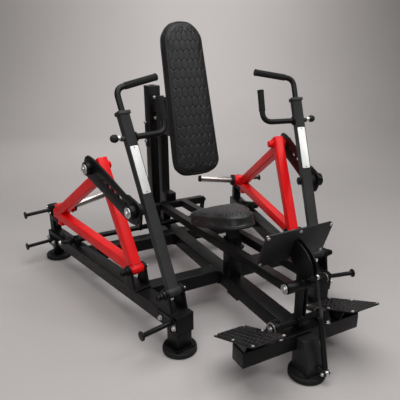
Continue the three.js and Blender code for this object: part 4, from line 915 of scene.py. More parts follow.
def hexagon_seam(x, y):
    """Distance to the nearest seam of the long hexagons, in millimetres."""
    along = (y - HEX_START) / HEX_SPAN
    height = along * HEX_SPAN / HEX_PITCH * (1 + HEX_TIGHTER * along)
    cell = pad_width(y) / HEX_COLUMNS
    steep = math.cos(math.atan(HEX_SLANT * HEX_PITCH / (cell / 2)))
    row = math.floor(height)
    best = cell
    for number in (row - 1, row, row + 1):
        if not 0 <= number < HEX_ROWS:
            continue
        share = (x / cell + (0.5 if number % 2 else 0.0)) % 1.0
        peak = 1 - abs(share * 2 - 1)
        crest = number + 1 + HEX_SLANT * (peak - 0.5)
        foot = number + HEX_SLANT * (0.5 - peak)
        best = min(best, abs(height - crest) * HEX_PITCH * steep)
        best = min(best, abs(height - foot) * HEX_PITCH * steep)
        if foot < height < crest:
            best = min(best, min(share, 1 - share) * cell)
    return best


def quilted(mesh, outline, seam_at, border, thick, bands, seam):
    """Presses seams into a cushion along its normals.

    A seam is the puff of a cell, the depth of a groove and half its width.
    """
    puff, depth, half = seam

    def groove(distance, share=1.0):
        return -depth * share * math.exp(-((distance / half) ** 2))

    loop = loop_of(outline, 0)[0]
    tree = kdtree.KDTree(len(loop))
    for index, spot in enumerate(loop):
        tree.insert((spot.x, spot.y, 0), index)
    tree.balance()
    normals = [vert.normal.copy() for vert in mesh.vertices]
    for vert, normal in zip(mesh.vertices, normals):
        x, y, z = vert.co * 1000
        away = tree.find((x, y, 0))[2]
        if normal.z > FACE_UP and z > thick * FACE_FROM:
            near = seam_at(x, y)
            face = min(1.0, max(0.0, (away - border) / BORDER_FADE))
            cell = puff * (1 - math.exp(-near / CELL_FADE)) + groove(near)
            rise = face * cell + groove(away - border)
        else:
            rise = sum(groove(z - level, BAND_DEPTH) for level in bands)
        wave = noise.noise(Vector((x, y, z)) / WAVE_LENGTH)
        vert.co += normal * (rise + wave * WAVE_HEIGHT) / 1000
    mesh.update()


def circle_at(spot, side_way, up_way, radius, sides):
    """Points of a circle round a spot, with its radius in millimetres."""
    turns = [2 * math.pi * step / sides for step in range(sides)]
    ways = [side_way * math.cos(turn) + up_way * math.sin(turn) for turn in turns]
    return [spot + way * radius / 1000 for way in ways]


def piping_mesh(cover, outline, inset, levels):
    """Piping cords laid on a cover, nearest to given (outward, height) places."""
    faces = [face.vertices for face in cover.polygons]
    cover_tree = bvhtree.BVHTree.FromPolygons([vert.co for vert in cover.vertices], faces)
    form = bmesh.new()
    for grow, height in levels:
        cord = []
        for spot, way in zip(*loop_of(outline, inset)):
            wanted = Vector((*(spot + way * grow), height)) / 1000
            near, facing = cover_tree.find_nearest(wanted)[:2]
            cord.append(near + facing * PIPING_RADIUS * PIPING_PROUD / 1000)
        rings = []
        for index, spot in enumerate(cord):
            ahead = (cord[(index + 1) % len(cord)] - cord[index - 1]).normalized()
            side_way = ahead.cross(UPRIGHT).normalized()
            up_way = side_way.cross(ahead)
            rings.append(circle_at(spot, side_way, up_way, PIPING_RADIUS, PIPING_SIDES))
        lofted(form, rings, True)
    return mesh_from("piping", form)


pad_frame = Matrix.Translation(at(*PAD_FOOT)) @ Matrix.Rotation(PAD_LEAN, 4, "X")
pad_frame = pad_frame @ Matrix.Translation(PAD_START)
pad_outline = (PAD_LENGTH, PAD_CORNERS, pad_width, PAD_BULGES)
pad_mesh = swollen(cushion_mesh(pad_outline, PAD_THICK, PAD_CROWN, PAD_ROLL, PAD_STEP))
quilted(pad_mesh, pad_outline, hexagon_seam, PAD_BORDER, PAD_THICK, PAD_BANDS, PAD_SEAM)
piping = piping_mesh(pad_mesh, pad_outline, PAD_PIPING_INSET, PAD_PIPING)
pad_mesh.transform(pad_frame)
back_pad = piece_of(
    "back_pad_cover", pad_mesh, leatherette, "base", ["back_pad"], COVER_SHARP
)
piping.transform(pad_frame)
piece_of("back_pad_piping", piping, leatherette, "base", (), COVER_SHARP)


# Clevises
# Each arm turns in a clevis bolted to its rail: two round-topped ears and a through bolt.
# Laser-cut plate, welded and coated black; black bolt heads outside, zinc plated nuts inside.
PIVOT_SCREW = (15, 1.3, 0.9)
PIVOT_NUT = (8, 1.4)
PIVOTS = ((0, 0, 318), (8, 335, 320))
CLEVIS_INNER = 68.5
CLEVIS_OUTER = 80.5
pivot_spots = []
nut_spots = []
for side in SIDES:
    finished(f"arm_clevis_{side}")
    finished(f"weight_clevis_{side}")
    out = unit_way(side, 1, 0, 0)
    for x, y, z in PIVOTS:
        pivot_spots.append((on_unit(side, x + CLEVIS_OUTER, y, z), out))
        nut_spots.append((on_unit(side, x - CLEVIS_INNER, y, z), -out))
screws("pivot_bolts", PIVOT_SCREW, pivot_spots, "base", black_coat)
screws("pivot_nuts", PIVOT_NUT, nut_spots, "base")


# Press arms
# Rectangular tube with a welded collar; the lower handle's socket and the link's pin cross it.
# Charcoal powder coat; a bare white plate is screwed to the front face of each.
CHARCOAL_TONES = ((0.0155, 0.0155, 0.0163), (0.0225, 0.0225, 0.0234))
ARM_TONES = ((0.0195, 0.0195, 0.0203), (0.0275, 0.0275, 0.0284))
CHARCOAL_ROUGH = (0.4, 0.52)
PLATE_TONES = ((0.66, 0.655, 0.64), (0.72, 0.715, 0.7))
ARM_LEAN = math.radians(24.2)
ARM_PIVOT_Z = 318
PLATE_MIDDLE = 640.5
PLATE_HALF = (23.5, 124.5)
PLATE_CORNER = 6
PLATE_CORNER_STEPS = 4
PLATE_LEVELS = ((19.5, 0), (21.2, 0), (21.6, 0.4))
PLATE_SCREW = (2.6, 1.3, 0.4)
PLATE_SCREW_REACH = 116.5
charcoal_coat = powder_coat("charcoal_coat", CHARCOAL_TONES, CHARCOAL_ROUGH)
arm_coat = powder_coat("arm_coat", ARM_TONES, CHARCOAL_ROUGH)
white_plate = surface("white_enamel", PLATE_TONES, (14, 4), (0.3, 0.42), [((260, 2), 0.00006)])


def on_arm(side, across, ahead, along):
    """A place on a press arm: across it, ahead of its axis and along it."""
    y = along * math.sin(ARM_LEAN) - ahead * math.cos(ARM_LEAN)
    z = ARM_PIVOT_Z + along * math.cos(ARM_LEAN) + ahead * math.sin(ARM_LEAN)
    return on_unit(side, across, y, z)


plate_outline = rounded_box(*PLATE_HALF, PLATE_CORNER, PLATE_CORNER_STEPS)
for side in SIDES:
    body = f"press_arm_{side}"
    finished(f"press_arm_{side}", arm_coat)
    form = bmesh.new()
    plate_rings = []
    for ahead, inset in PLATE_LEVELS:
        ring = []
        for x, along in plate_outline:
            near_x = x - math.copysign(inset, x)
            near_s = PLATE_MIDDLE + along - math.copysign(inset, along)
            ring.append(on_arm(side, near_x, ahead, near_s))
        plate_rings.append(ring)
    lofted(form, plate_rings)
    piece_of(f"arm_plate_{side}", mesh_from("arm_plate", form), white_plate, body)
    front = unit_way(side, 0, -math.cos(ARM_LEAN), math.sin(ARM_LEAN))
    plate_spots = [
        (on_arm(side, 0, PLATE_LEVELS[-1][0], PLATE_MIDDLE + reach), front)
        for reach in (-PLATE_SCREW_REACH, PLATE_SCREW_REACH)
    ]
    screws(f"plate_screws_{side}", PLATE_SCREW, plate_spots, body, disc_rubber)


# Handles
# Bent round bar, coated black; soft foam grips are pushed over the ends with a thin end cap.
# The upper pair is welded to the arms; the lower pair turns on a journal and is pinned.
FOAM_TONES = ((0.0048, 0.0048, 0.0047), (0.0088, 0.0088, 0.0086))
FOAM_PORES = (650, 3, 0.6)
FOAM_SHEEN = {"Sheen Weight": 0.03, SHINE: 0.25}
HANDLE_RADIUS = 16
HANDLE_SIDES = 28
BEND_STEPS = 14
GRIP_RADIUS = 19
GRIP_END_RADIUS = 20
GRIP_CAP = 6
ARM_LENGTH = 950
UPPER_RISE = 122
UPPER_REACH = 246
UPPER_CLIMB = 44
UPPER_BEND = 46
UPPER_GRIP = 196
LOWER_ALONG = 812
LOWER_ROOT = 30.5
LOWER_REACH = 230
LOWER_RISE = 186
LOWER_LEAN = math.radians(18)
LOWER_BEND = 62
LOWER_GRIP = 122
LOWER_FLANGE = rounded_profile([(0, 0), (27, 0), (27, 9), (HANDLE_RADIUS, 10), (0, 10)], 1.5)
PIN_HOUSING = 50.6
PIN_RAISED = 7
PIN_ROUNDING = 8
PIN_SIDES = 40
PIN_BARREL = [(0, 0), (13.5, 0), (13.5, 24), (0, 24)]
PIN_KNOB = [(0, 17), (14, 17), (21, 27), (21, 41), (13, 55), (0, 56)]
grip_foam = surface(
    "grip_foam", FOAM_TONES, FOAM_PORES, 0.86, [((130, 2), 0.0003), (FOAM_PORES, 0.0004)],
    fixed=FOAM_SHEEN,
)


def swept_form(form, points, radius, sides):
    """Adds a round bar along points, closed at both ends."""
    rings = []
    side_way = (points[1] - points[0]).normalized().orthogonal().normalized()
    for index, spot in enumerate(points):
        before = points[max(index - 1, 0)]
        after = points[min(index + 1, len(points) - 1)]
        ahead = (after - before).normalized()
        side_way = (side_way - ahead * side_way.dot(ahead)).normalized()
        rings.append(circle_at(spot, side_way, ahead.cross(side_way), radius, sides))
    lofted(form, rings)


def bent_path(start, corner, end, bend):
    """Points along a bar with one bend; bend is how far from the corner it starts."""
    before = corner + (start - corner).normalized() * bend / 1000
    after = corner + (end - corner).normalized() * bend / 1000
    points = [start, start.lerp(before, 0.5)]
    for step in range(BEND_STEPS + 1):
        share = step / BEND_STEPS
        points.append(before.lerp(corner, share).lerp(corner.lerp(after, share), share))
    return points + [after.lerp(end, 0.5), end]


def grip_profile(length):
    """A foam grip with the lip of its end cap, from its open end."""
    corners = [
        (0, 0.5), (HANDLE_RADIUS, 0.5), (GRIP_RADIUS, 1.5), (GRIP_RADIUS, length - GRIP_CAP),
        (GRIP_END_RADIUS, length - GRIP_CAP), (GRIP_END_RADIUS, length + GRIP_CAP - 0.5),
        (GRIP_END_RADIUS - 5, length + GRIP_CAP), (0, length + GRIP_CAP),
    ]
    return rounded_profile(corners, 1.5)


def handle(side, name, body, path, bend, grip, flange=None):
    """A bent bar from its root round its corner to its end, with its grip."""
    start, corner, end = path
    node = f"{name}_handle_{side}"
    form = bmesh.new()
    swept_form(form, bent_path(start, corner, end, bend), HANDLE_RADIUS, HANDLE_SIDES)
    if flange:
        turned_form(form, flange, start, (corner - start).normalized(), HANDLE_SIDES)
    piece_of(f"{node}_bar", mesh_from(node, form), black_coat, body, [node])
    way = (end - corner).normalized()
    spots = [(end - way * grip / 1000, way)]
    turned_piece(
        f"{node}_grip", grip_profile(grip), spots, HANDLE_SIDES, grip_foam, body
    )


for side in SIDES:
    inward = unit_way(side, -1, 0, 0)
    top = on_arm(side, 0, 0, ARM_LENGTH)
    corner = on_arm(side, 0, 0, ARM_LENGTH + UPPER_RISE)
    end = corner + inward * UPPER_REACH / 1000 + Vector((0, 0, UPPER_CLIMB / 1000))
    handle(side, "upper", f"press_arm_{side}", (top, corner, end), UPPER_BEND, UPPER_GRIP)
    swivel = on_arm(side, 0, 0, LOWER_ALONG)
    root = swivel + inward * LOWER_ROOT / 1000
    corner = swivel + inward * LOWER_REACH / 1000
    end = corner + unit_way(side, 0, math.sin(LOWER_LEAN), math.cos(LOWER_LEAN)) * LOWER_RISE / 1000
    body = f"lower_handle_{side}"
    handle(side, "lower", body, (root, corner, end), LOWER_BEND, LOWER_GRIP, LOWER_FLANGE)
    finished(f"pull_pin_{side}", disc_rubber, 0)
    housing = [(on_arm(side, PIN_HOUSING, 0, LOWER_ALONG + PIN_RAISED), -inward)]
    for name, profile, finish, slot in (
        ("barrel", PIN_BARREL, zinc_steel, None), ("knob", PIN_KNOB, disc_rubber, "rubber")
    ):
        turned_piece(
            f"pull_pin_{name}_{side}", rounded_profile(profile, PIN_ROUNDING), housing, PIN_SIDES,
            finish, f"pull_pin_{side}",
        )


# Weight arms
# Each is a triangle of square tube, welded and powder coated in a semi-gloss signal red.
# A polished sleeve for the plates sits in its hub behind a rubber collar.
RED_TONES = ((0.7, 0.0045, 0.0062), (0.8, 0.0075, 0.0095))
STEEL_TONES = ((0.42, 0.385, 0.365), (0.58, 0.545, 0.52))
STEEL_HAZE = (90, 3, 0.6, (1, 1, 4))
WEIGHT_X = 8
DRAWN_HALF = 25
SLEEVE_Y = 1300
SLEEVE_Z = 410
SLEEVE_TILT = math.radians(7)
SLEEVE_FIRST = 80.6
COLLAR_FIRST = 60.3
SLEEVE_SIDES = 48
BOSS_SIDES = 40
SLEEVE_BAR = rounded_profile([(0, 0), (25, 0), (25, 272), (21, 272.5), (21, 278), (0, 278)], 2)
SLEEVE_CAP = [(0, 266), (25.9, 266), (26.3, 266.6), (26.3, 277), (25, 280.5), (21, 283), (0, 284)]
COLLAR = rounded_profile([(0, 0), (44, 0), (44, 20), (0, 20)], 3)
HUB_FLANGE = rounded_profile([(0, 49), (46, 49), (46, 60.2), (0, 60.2)], 2)
TOP_BOSS = rounded_profile([(0, 0), (23, 0), (23, 34), (0, 34)], 3)
TOP_BOSS_X = -18
LINK_TOP = Vector((655, 850))
ARM_FOOT = Vector((335, 320))
ARM_TOP = Vector((651, 893))
ARM_REAR = Vector((1362, 370))
DIAGONAL_TOP = ARM_TOP + (ARM_FOOT - ARM_TOP).normalized() * 78
DIAGONAL_FOOT = Vector((1300, 394))
TUBE_HALF = 30
TUBE_CORNER = 5
TUBE_CORNER_STEPS = 3
TUBE_END_SHARE = 29 / 30
# Each tube: from, to, where it starts along that line, how far it runs on, and its raise.
ARM_TUBES = (
    (ARM_FOOT, ARM_TOP, 24, 1, 0.0),
    (ARM_FOOT, ARM_REAR, 24, 1, 4.7),
    (DIAGONAL_TOP, DIAGONAL_FOOT, 0, 0, 0.0),
)
red_coat = powder_coat("signal_red_coat", RED_TONES, (0.3, 0.42))
polished_steel = surface(
    "polished_steel", STEEL_TONES, STEEL_HAZE, (0.3, 0.38), [((1200, 1), 0.00004)],
    fixed={"Metallic": 1.0},
)


def square_tube(form, side, start, end, first, further, raised_by):
    """Adds a closed tube in a side unit's plane, from (y, z) to (y, z), with rounded corners."""
    along = (end - start).normalized()
    across = Vector((-along.y, along.x))
    if across.y < 0:
        across = -across
    last = (end - start).length + further
    rings = []
    for station, scale in (
        (first, TUBE_END_SHARE), (first + 1, 1), (last - 1, 1), (last, TUBE_END_SHARE)
    ):
        ring = []
        for x, up in rounded_box(TUBE_HALF, TUBE_HALF, TUBE_CORNER, TUBE_CORNER_STEPS):
            spot = start + along * station + across * (up * scale + raised_by)
            ring.append(on_unit(side, WEIGHT_X + x * scale, *spot))
        rings.append(ring)
    lofted(form, rings)


for side in SIDES:
    body = f"weight_arm_{side}"
    finished(f"weight_arm_{side}", red_coat)
    form = bmesh.new()
    for tube in ARM_TUBES:
        square_tube(form, side, *tube)
    piece_of(f"weight_arm_tubes_{side}", mesh_from("tubes", form), red_coat, body)
    way = unit_way(side, -math.cos(SLEEVE_TILT), 0, math.sin(SLEEVE_TILT))
    root = on_unit(side, WEIGHT_X - DRAWN_HALF, SLEEVE_Y, SLEEVE_Z)
    sleeve = [(root + way * SLEEVE_FIRST / 1000, way)]
    collar = [(root + way * COLLAR_FIRST / 1000, way)]
    boss = [(on_unit(side, TOP_BOSS_X, *LINK_TOP), unit_way(side, -1, 0, 0))]
    for name, profile, spots, sides, finish, slot, nodes in (
        ("weight_sleeve_SIDE_bar", SLEEVE_BAR, sleeve, SLEEVE_SIDES, polished_steel, "chrome",
         [f"weight_sleeve_{side}"]),
        ("sleeve_collar_SIDE_ring", COLLAR, collar, SLEEVE_SIDES, disc_rubber, "rubber",
         [f"sleeve_collar_{side}"]),
        ("hub_flange_SIDE", HUB_FLANGE, [(root, way)], SLEEVE_SIDES, red_coat, "red_paint", ()),
        ("top_boss_SIDE", TOP_BOSS, boss, BOSS_SIDES, red_coat, "red_paint", ()),
        ("sleeve_cap_SIDE", SLEEVE_CAP, sleeve, SLEEVE_SIDES, disc_rubber, "rubber", ()),
    ):
        turned_piece(name.replace("SIDE", side), profile, spots, sides, finish, body, nodes)


# Link plates
# Long flat plates with plain slots tie the weight arms to the press arms.
# Laser-cut steel, satin black; each pivot has a turned boss with a zinc plated cap and bolt.
LINK_LOW = Vector((212.0, 711.7))
LINK_MIDDLE_X = 68
LINK_THICK = 12
LINK_BREAK = 1.4
LINK_OUTLINE = (
    (540, -4), (529, 38), (506, 58), (466, 65), (410, 67), (282, 61), (106, 44), (92, 44),
    (70, 56), (-14, 59), (-40, 52), (-52, 34), (-57, -6), (-47, -52), (-34, -66), (18, -84),
    (60, -85), (121, -82), (310, -74), (500, -71), (526, -58),
)
LINK_SLOTS = (128, 184, 240, 296)
LINK_SLOT_LENGTH = 20
LINK_SLOT_HALF = 10
LINK_HOLE = (74, 0, 9)
BOSS = rounded_profile([(0, 0), (39, 0), (39, 30), (36, 33), (0, 33)], 2)
BOSS_CAP = rounded_profile(
    [(0, 33), (29, 33), (29, 36.5), (27.5, 38), (18, 38), (17, 37), (0, 37)], 1
)
BOSS_REACH = 37
BOSS_SCREW = (12, 0)
BOSS_LOW_X = 75
INNER_BOSS = rounded_profile([(0, 0), (24, 0), (24, 39), (0, 39)], 3)


def rounded_slot(start, length, half, steps=8):
    """A plain slot's outline in a plate's own plane, or a round hole where length is zero."""
    points = []
    for centre, quarter in ((start + length, -1), (start, 1)):
        for step in range(steps + 1):
            turn = math.pi / 2 * quarter + math.pi * step / steps
            points.append((centre + half * math.cos(turn), half * math.sin(turn)))
    return points


link_way = (LINK_TOP - LINK_LOW).normalized()
link_outlines = [LINK_OUTLINE]
link_outlines += [rounded_slot(start, LINK_SLOT_LENGTH, LINK_SLOT_HALF) for start in LINK_SLOTS]
link_outlines.append(rounded_slot(*LINK_HOLE))
for side in SIDES:
    node = f"link_plate_{side}"
    arm = f"press_arm_{side}"
    out = unit_way(side, 1, 0, 0)
    ahead = unit_way(side, 0, link_way.x, link_way.y)
    upward = unit_way(side, 0, -link_way.y, link_way.x)
    place = Matrix((ahead, upward, out)).transposed().to_4x4()
    place.translation = on_unit(side, LINK_MIDDLE_X, *LINK_LOW)
    plate = flat_plate(link_outlines, LINK_THICK, LINK_BREAK, place)
    piece_of(f"{node}_cut", plate, black_coat, f"link_{side}", [node])
    inner = [(on_unit(side, 0, *LINK_LOW), -out)]
    turned_piece(f"arm_boss_{side}", INNER_BOSS, inner, BOSS_SIDES, black_coat, arm)
    top = on_unit(side, LINK_MIDDLE_X + LINK_THICK / 2, *LINK_TOP)
    low = on_unit(side, BOSS_LOW_X, *LINK_LOW)
    for name, body, spot in (("top", f"link_{side}", top), ("low", arm, low)):
        spots = [(spot, out)]
        ends = [(spot + out * BOSS_REACH / 1000, out)]
        named = f"{name}_{side}"
        turned_piece(f"link_boss_{named}", BOSS, spots, BOSS_SIDES, black_coat, body)
        turned_piece(f"link_cap_{named}", BOSS_CAP, spots, BOSS_SIDES, zinc_steel, body)
        screws(f"link_bolt_{named}", BOSS_SCREW, ends, body)


# Front leg and foot plates
# A kneed box leg under the foot beam, and two sloping tread plates on ribs.
# Charcoal coat; the darker tread has rows of small raised bars for grip, pressed into the plate.
TREAD_TONES = ((0.0072, 0.0072, 0.0075), (0.0115, 0.0115, 0.012))
PLATE_X = 278
FOOT_PLATE_Y = -607
FOOT_PLATE_Z = 244
FOOT_SLOPE = math.radians(23.6)
TREAD_THICK = 6
TREAD_REACH = (78, 172)
TREAD_DIAGONAL = 248
TREAD_PITCH = 30
TREAD_TURNS = {"left": math.radians(45), "right": math.radians(-45)}
STUD_SIZES = {"Stud length": 0.0125, "Stud radius": 0.0042, "Stud height": 0.0034}
STUD_FACETS = {"Segments": 10, "Rings": 6, "Radius": 1.0}
FOOT_SCREW = (6.5, 1.3, 0.45)
FOOT_SCREWS = [(x, down) for x in (-79, 79) for down in (-171, 0, 171)]
SCREW_CLEAR = 13
tread_coat = powder_coat("tread_coat", TREAD_TONES, (0.26, 0.36))
finished("front_leg", charcoal_coat)


def on_tread(sign, x, down, up):
    """A place on a foot plate: across, down its slope and above its middle plane."""
    y = FOOT_PLATE_Y + down * math.cos(FOOT_SLOPE) + up * math.sin(FOOT_SLOPE)
    z = FOOT_PLATE_Z - down * math.sin(FOOT_SLOPE) + up * math.cos(FOOT_SLOPE)
    return at(sign * (PLATE_X + x), y, z)


def stud_tree():
    """Geometry Nodes: a low rounded bar at every point, turned on the plate."""
    tree, given = tree_of("tread_studs", [*STUD_SIZES, "Turn"])
    form = add_node(tree, "GeometryNodeMeshUVSphere", STUD_FACETS)["Mesh"]
    sizes = {axis: given[label] for axis, label in zip("XYZ", STUD_SIZES)}
    for use, parts in (("Scale", sizes), ("Rotation", {"Z": given["Turn"]})):
        wanted = {"Geometry": form, use: add_node(tree, "ShaderNodeCombineXYZ", parts)["Vector"]}
        form = add_node(tree, "GeometryNodeTransform", wanted)["Geometry"]
    set_on_points(tree, given, form)
    return tree


def tread_places():
    """Where the bars of a tread are, with the row each is in: staggered, clear of the screws."""
    rows = int(TREAD_REACH[1] / (TREAD_PITCH / 2))
    columns = int(TREAD_REACH[0] / TREAD_PITCH)
    for row in range(-rows, rows + 1):
        down = row * TREAD_PITCH / 2
        for column in range(-columns, columns + 1):
            x = (column + row % 2 / 2) * TREAD_PITCH
            inside = abs(x) + abs(down) <= TREAD_DIAGONAL and abs(x) <= TREAD_REACH[0]
            if inside and all(math.hypot(x - a, down - b) >= SCREW_CLEAR for a, b in FOOT_SCREWS):
                yield row, x, down


tread_studs = stud_tree()
tread_up = Vector((0, math.sin(FOOT_SLOPE), math.cos(FOOT_SLOPE)))
for side, sign in SIDES.items():
    finished(f"foot_plate_{side}", tread_coat)
    spots = [(on_tread(sign, x, down, TREAD_THICK), tread_up) for x, down in FOOT_SCREWS]
    screws(f"foot_plate_screws_{side}", FOOT_SCREW, spots, "base")
    for odd, (name, turn) in enumerate(TREAD_TURNS.items()):
        spots = [
            (on_tread(sign, x, down, TREAD_THICK), tread_up)
            for row, x, down in tread_places() if row % 2 == odd
        ]
        grown(
            f"foot_plate_studs_{name}_{side}", tread_studs, spots, {**STUD_SIZES, "Turn": turn},
            tread_coat, "base",
        )


# Foot lever
# Twin curved plates on a shaft, pushed by both feet; a wide push plate is bolted to its head.
# Black coat on the lever, charcoal on the push plate, zinc plated bolts and washers.
PUSH_Y = -565.5
PUSH_Z = 626.5
PUSH_LEAN = math.radians(21.3)
PUSH_THICK = 8
PUSH_ROWS = (-81, 81)
PUSH_COLUMNS = (-177, 0, 177)
PUSH_UP = Vector((0, -math.sin(PUSH_LEAN), math.cos(PUSH_LEAN)))
PUSH_AWAY = Vector((0, math.cos(PUSH_LEAN), math.sin(PUSH_LEAN)))
LEVER_PIN = (117, -645, 462)
LEVER_PIN_SCREW = (13, 1.8, 0.35)
LEVER_SHAFT = (-620, 254)
LEVER_SHAFT_END = 163
LEVER_SHAFT_SCREW = (9, 1.5, 0.5)
BEARING_X = 141
BEARING_HALF = 17
BEARING_RING = [(23, 0), (32, 0), (32, 1.6), (31, 2.4), (24, 2.4), (23, 1.6), (23, 0)]
CLAMP_HALF = (21, 56)
CLAMP_GAP = 0.2
CLAMP_THICK = 7
CLAMP_BOLTS = (-44, 44)
CLAMP_SCREW = (9, 1.4, 0.9)


def both_ends(reach, y, z):
    """The two ends of a bar that lies across the machine, each with its way out."""
    return [(at(sign * reach, y, z), Vector((sign, 0, 0))) for sign in SIDES.values()]


finished("foot_lever")
finished("push_plate", charcoal_coat)
push_spots = []
for x in PUSH_COLUMNS:
    for row in PUSH_ROWS:
        spot = at(x, PUSH_Y, PUSH_Z) + PUSH_UP * row / 1000
        push_spots.append((spot + PUSH_AWAY * PUSH_THICK / 1000, PUSH_AWAY))
        push_spots.append((spot, -PUSH_AWAY))
screws("push_plate_screws", FOOT_SCREW, push_spots, "foot_lever")
screws("lever_pin_bolts", LEVER_PIN_SCREW, both_ends(*LEVER_PIN), "foot_lever")
beam_top = beam_high.z * 1000
clamp_spots = []
for side, sign in SIDES.items():
    x = sign * BEARING_X
    low = (x - CLAMP_HALF[0], FOOT_BEAM_Y - CLAMP_HALF[1], beam_top + CLAMP_GAP)
    high = (x + CLAMP_HALF[0], FOOT_BEAM_Y + CLAMP_HALF[1], beam_top + CLAMP_THICK)
    black_box(f"bearing_clamp_{side}", MACHINE_FRAME, low, high)
    clamp_spots += [(at(x, FOOT_BEAM_Y + away, high[2]), UPRIGHT) for away in CLAMP_BOLTS]
screws("bearing_clamp_bolts", CLAMP_SCREW, clamp_spots, "base")
ring_spots = [
    (at(sign * BEARING_X + face * BEARING_HALF, *LEVER_SHAFT), Vector((face, 0, 0)))
    for sign in SIDES.values() for face in (-1, 1)
]
turned_piece("lever_bearing_rings", BEARING_RING, ring_spots, BOSS_SIDES, zinc_steel, "base")
shaft_spots = both_ends(LEVER_SHAFT_END, *LEVER_SHAFT)
screws("lever_shaft_bolts", LEVER_SHAFT_SCREW, shaft_spots, "foot_lever")


# Push frame and rocker
# Two rails run back from the lever to a cross tube, whose pins turn the rocker's arms.
# The rocker's shaft lies on the rails and its two lifters raise the weight arms.
PUSH_REAR = (262.5, 832, 395)
PUSH_REAR_SCREW = (10, 1.6, 0.5)
ROCKER = (814, 870, 246)
ROCKER_SCREW = (13, 1.3, 0.6)
finished("push_frame")
finished("rocker")
screws("push_frame_bolts", PUSH_REAR_SCREW, both_ends(*PUSH_REAR), "push_frame")
screws("rocker_bolts", ROCKER_SCREW, both_ends(*ROCKER), "rocker")


# Gas strut
# A slim gas strut in front of the lever holds it up: a black cylinder below, a dark rod above.
# Its eye turns on a pin in the leg's lugs, its head on a zinc plated stud at the lever.
STRUT_X = 30
STRUT_FOOT = (-795, 58)
STRUT_TOP = (-690, 508)
STRUT_EYE = [(8.2, -7), (15.6, -7), (16.6, -6), (16.6, 6), (15.6, 7), (8.2, 7), (8.2, -7)]
STRUT_STUD = [
    (0, -13), (6, -12.5), (10.5, -9), (12.6, -4), (12.6, 2), (10.5, 7), (6, 10.5), (0, 12),
]
STRUT_EYE_SIDES = 36
STRUT_STUD_SIDES = 28
STRUT_SCREW = (7.5, 1.4, 0.9)
STRUT_SCREW_REACH = 19
RIGHTWARD = Vector((1, 0, 0))
finished("strut_cylinder", edge=0)
finished("strut_rod", column_cap, edge=0)
eye = [(at(STRUT_X, *STRUT_FOOT), RIGHTWARD)]
stud = [(at(STRUT_X, *STRUT_TOP), RIGHTWARD)]
turned_piece("strut_eye_ring", STRUT_EYE, eye, STRUT_EYE_SIDES, zinc_steel, "strut_cylinder")
turned_piece("strut_top_stud", STRUT_STUD, stud, STRUT_STUD_SIDES, zinc_steel, "strut_rod")
foot_bolts = [
    (at(STRUT_X + sign * STRUT_SCREW_REACH, *STRUT_FOOT), RIGHTWARD * sign) for sign in (1, -1)
]
screws("strut_foot_bolts", STRUT_SCREW, foot_bolts, "base")


# Seat post
# A square post slides in the sleeve and is held by a spring pin with a round knob.
# The sleeve is black, the post charcoal; the pin and its knob are black.
finished("seat_sleeve")
finished("seat_post", charcoal_coat)
finished("seat_pin", disc_rubber, 0)


# Seat cushion
# Foam on a thin board, covered in leatherette; the nose is narrow, the rear wide.
# The top is quilted in diamonds inside a seam, and the side band has two more seams.
SEAT_LENGTH = 376
SEAT_THICK = 66
SEAT_BOARD = 8
SEAT_NOSE = 246
SEAT_WAIST = 228
SEAT_REAR = 372
SEAT_CORNERS = (116, 80)
SEAT_CROWN = 9
SEAT_ROLL = 15
SEAT_STEP = 7.2
SEAT_BULGES = (6, 6)
SEAT_TILT = math.radians(10.5)
SEAT_FRONT = -140
SEAT_UNDER = (0, -6, 526)
SEAT_BORDER = 19
SEAT_BANDS = (SEAT_THICK - 22, 17)
SEAT_PIPING_INSET = 4
SEAT_PIPING = ((2.5, 3.5),)
SEAT_SEAM = (0.8, 1.6, 2.0)
SEAT_TONES = ((0.0105, 0.0105, 0.0105), (0.0155, 0.0155, 0.0154))
SEAT_PEBBLE = (480, 4, 0.6)
DIAMOND = 36
DIAMOND_STRETCH = 1.25
DIAMOND_STEEP = 0.62
BOARD_TONES = ((0.009, 0.009, 0.009), (0.016, 0.016, 0.016))
BOARD_INSET = 7
BOARD_BREAK = 1
seat_leatherette = surface(
    "seat_leatherette", SEAT_TONES, (9, 4), (0.38, 0.5),
    [((45, 4, 0.6), 0.0012), (SEAT_PEBBLE, 0.00035)], SEAT_PEBBLE, {SHINE: 0.42},
)
board_black = surface("board_black", BOARD_TONES, (200, 4), 0.7, [((200, 4), 0.0002)])


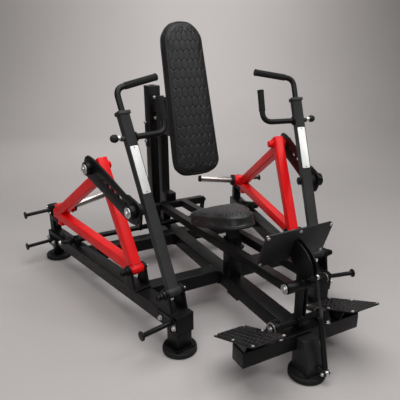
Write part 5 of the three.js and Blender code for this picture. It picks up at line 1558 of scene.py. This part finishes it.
def seat_width(along, inset=0.0):
    """Width of the seat's outline: a narrow nose, a waist, and a wide rear."""
    share = min(1.0, max(0.0, (along - inset) / (SEAT_LENGTH - inset * 2)))
    swell = math.sin(math.pi / 2 * share) ** 2
    waist = math.sin(math.pi * min(1.0, share * 2)) * (SEAT_WAIST - SEAT_REAR) / 4
    straight = SEAT_NOSE + (SEAT_REAR - SEAT_NOSE) * swell + waist - inset * 2
    corners = [corner - inset for corner in SEAT_CORNERS]
    return straight + rounded_width(along - inset, SEAT_LENGTH - inset * 2, 0, 0, corners)


def diamond_seam(x, y):
    """Distance to the nearest seam of the diamonds, in millimetres."""
    first = ((x * DIAMOND_STRETCH + y) / DIAMOND) % 1.0
    second = ((x * DIAMOND_STRETCH - y) / DIAMOND) % 1.0
    return min(first, 1 - first, second, 1 - second) * DIAMOND * DIAMOND_STEEP


seat_frame = Matrix.Translation(at(*SEAT_UNDER)) @ Matrix.Rotation(-SEAT_TILT, 4, "X")
seat_frame = seat_frame @ Matrix.Translation((0, SEAT_FRONT / 1000, SEAT_BOARD / 1000))
seat_outline = (SEAT_LENGTH, SEAT_CORNERS, seat_width, SEAT_BULGES)
seat_mesh = swollen(cushion_mesh(seat_outline, SEAT_THICK, SEAT_CROWN, SEAT_ROLL, SEAT_STEP))
quilted(seat_mesh, seat_outline, diamond_seam, SEAT_BORDER, SEAT_THICK, SEAT_BANDS, SEAT_SEAM)
piping = piping_mesh(seat_mesh, seat_outline, SEAT_PIPING_INSET, SEAT_PIPING)
seat_mesh.transform(seat_frame)
seat_cushion = piece_of(
    "seat_cushion_cover", seat_mesh, seat_leatherette, "seat", ["seat_cushion"],
    COVER_SHARP,
)
piping.transform(seat_frame)
piece_of("seat_piping", piping, seat_leatherette, "seat", (), COVER_SHARP)

# The board follows the cushion's outline, a little inside it, with broken edges.
form = bmesh.new()
board_rings = []
for grow, height in (
    (-BOARD_BREAK, 0), (0, BOARD_BREAK),
    (0, SEAT_BOARD - BOARD_BREAK), (-BOARD_BREAK, SEAT_BOARD),
):
    board_rings.append([
        Vector((*(spot + way * (grow - BOARD_INSET)), height - SEAT_BOARD)) / 1000
        for spot, way in zip(*loop_of(seat_outline, 0))
    ])
lofted(form, board_rings)
board = mesh_from("seat_board", form)
board.transform(seat_frame)
piece_of("seat_board", board, board_black, "seat")
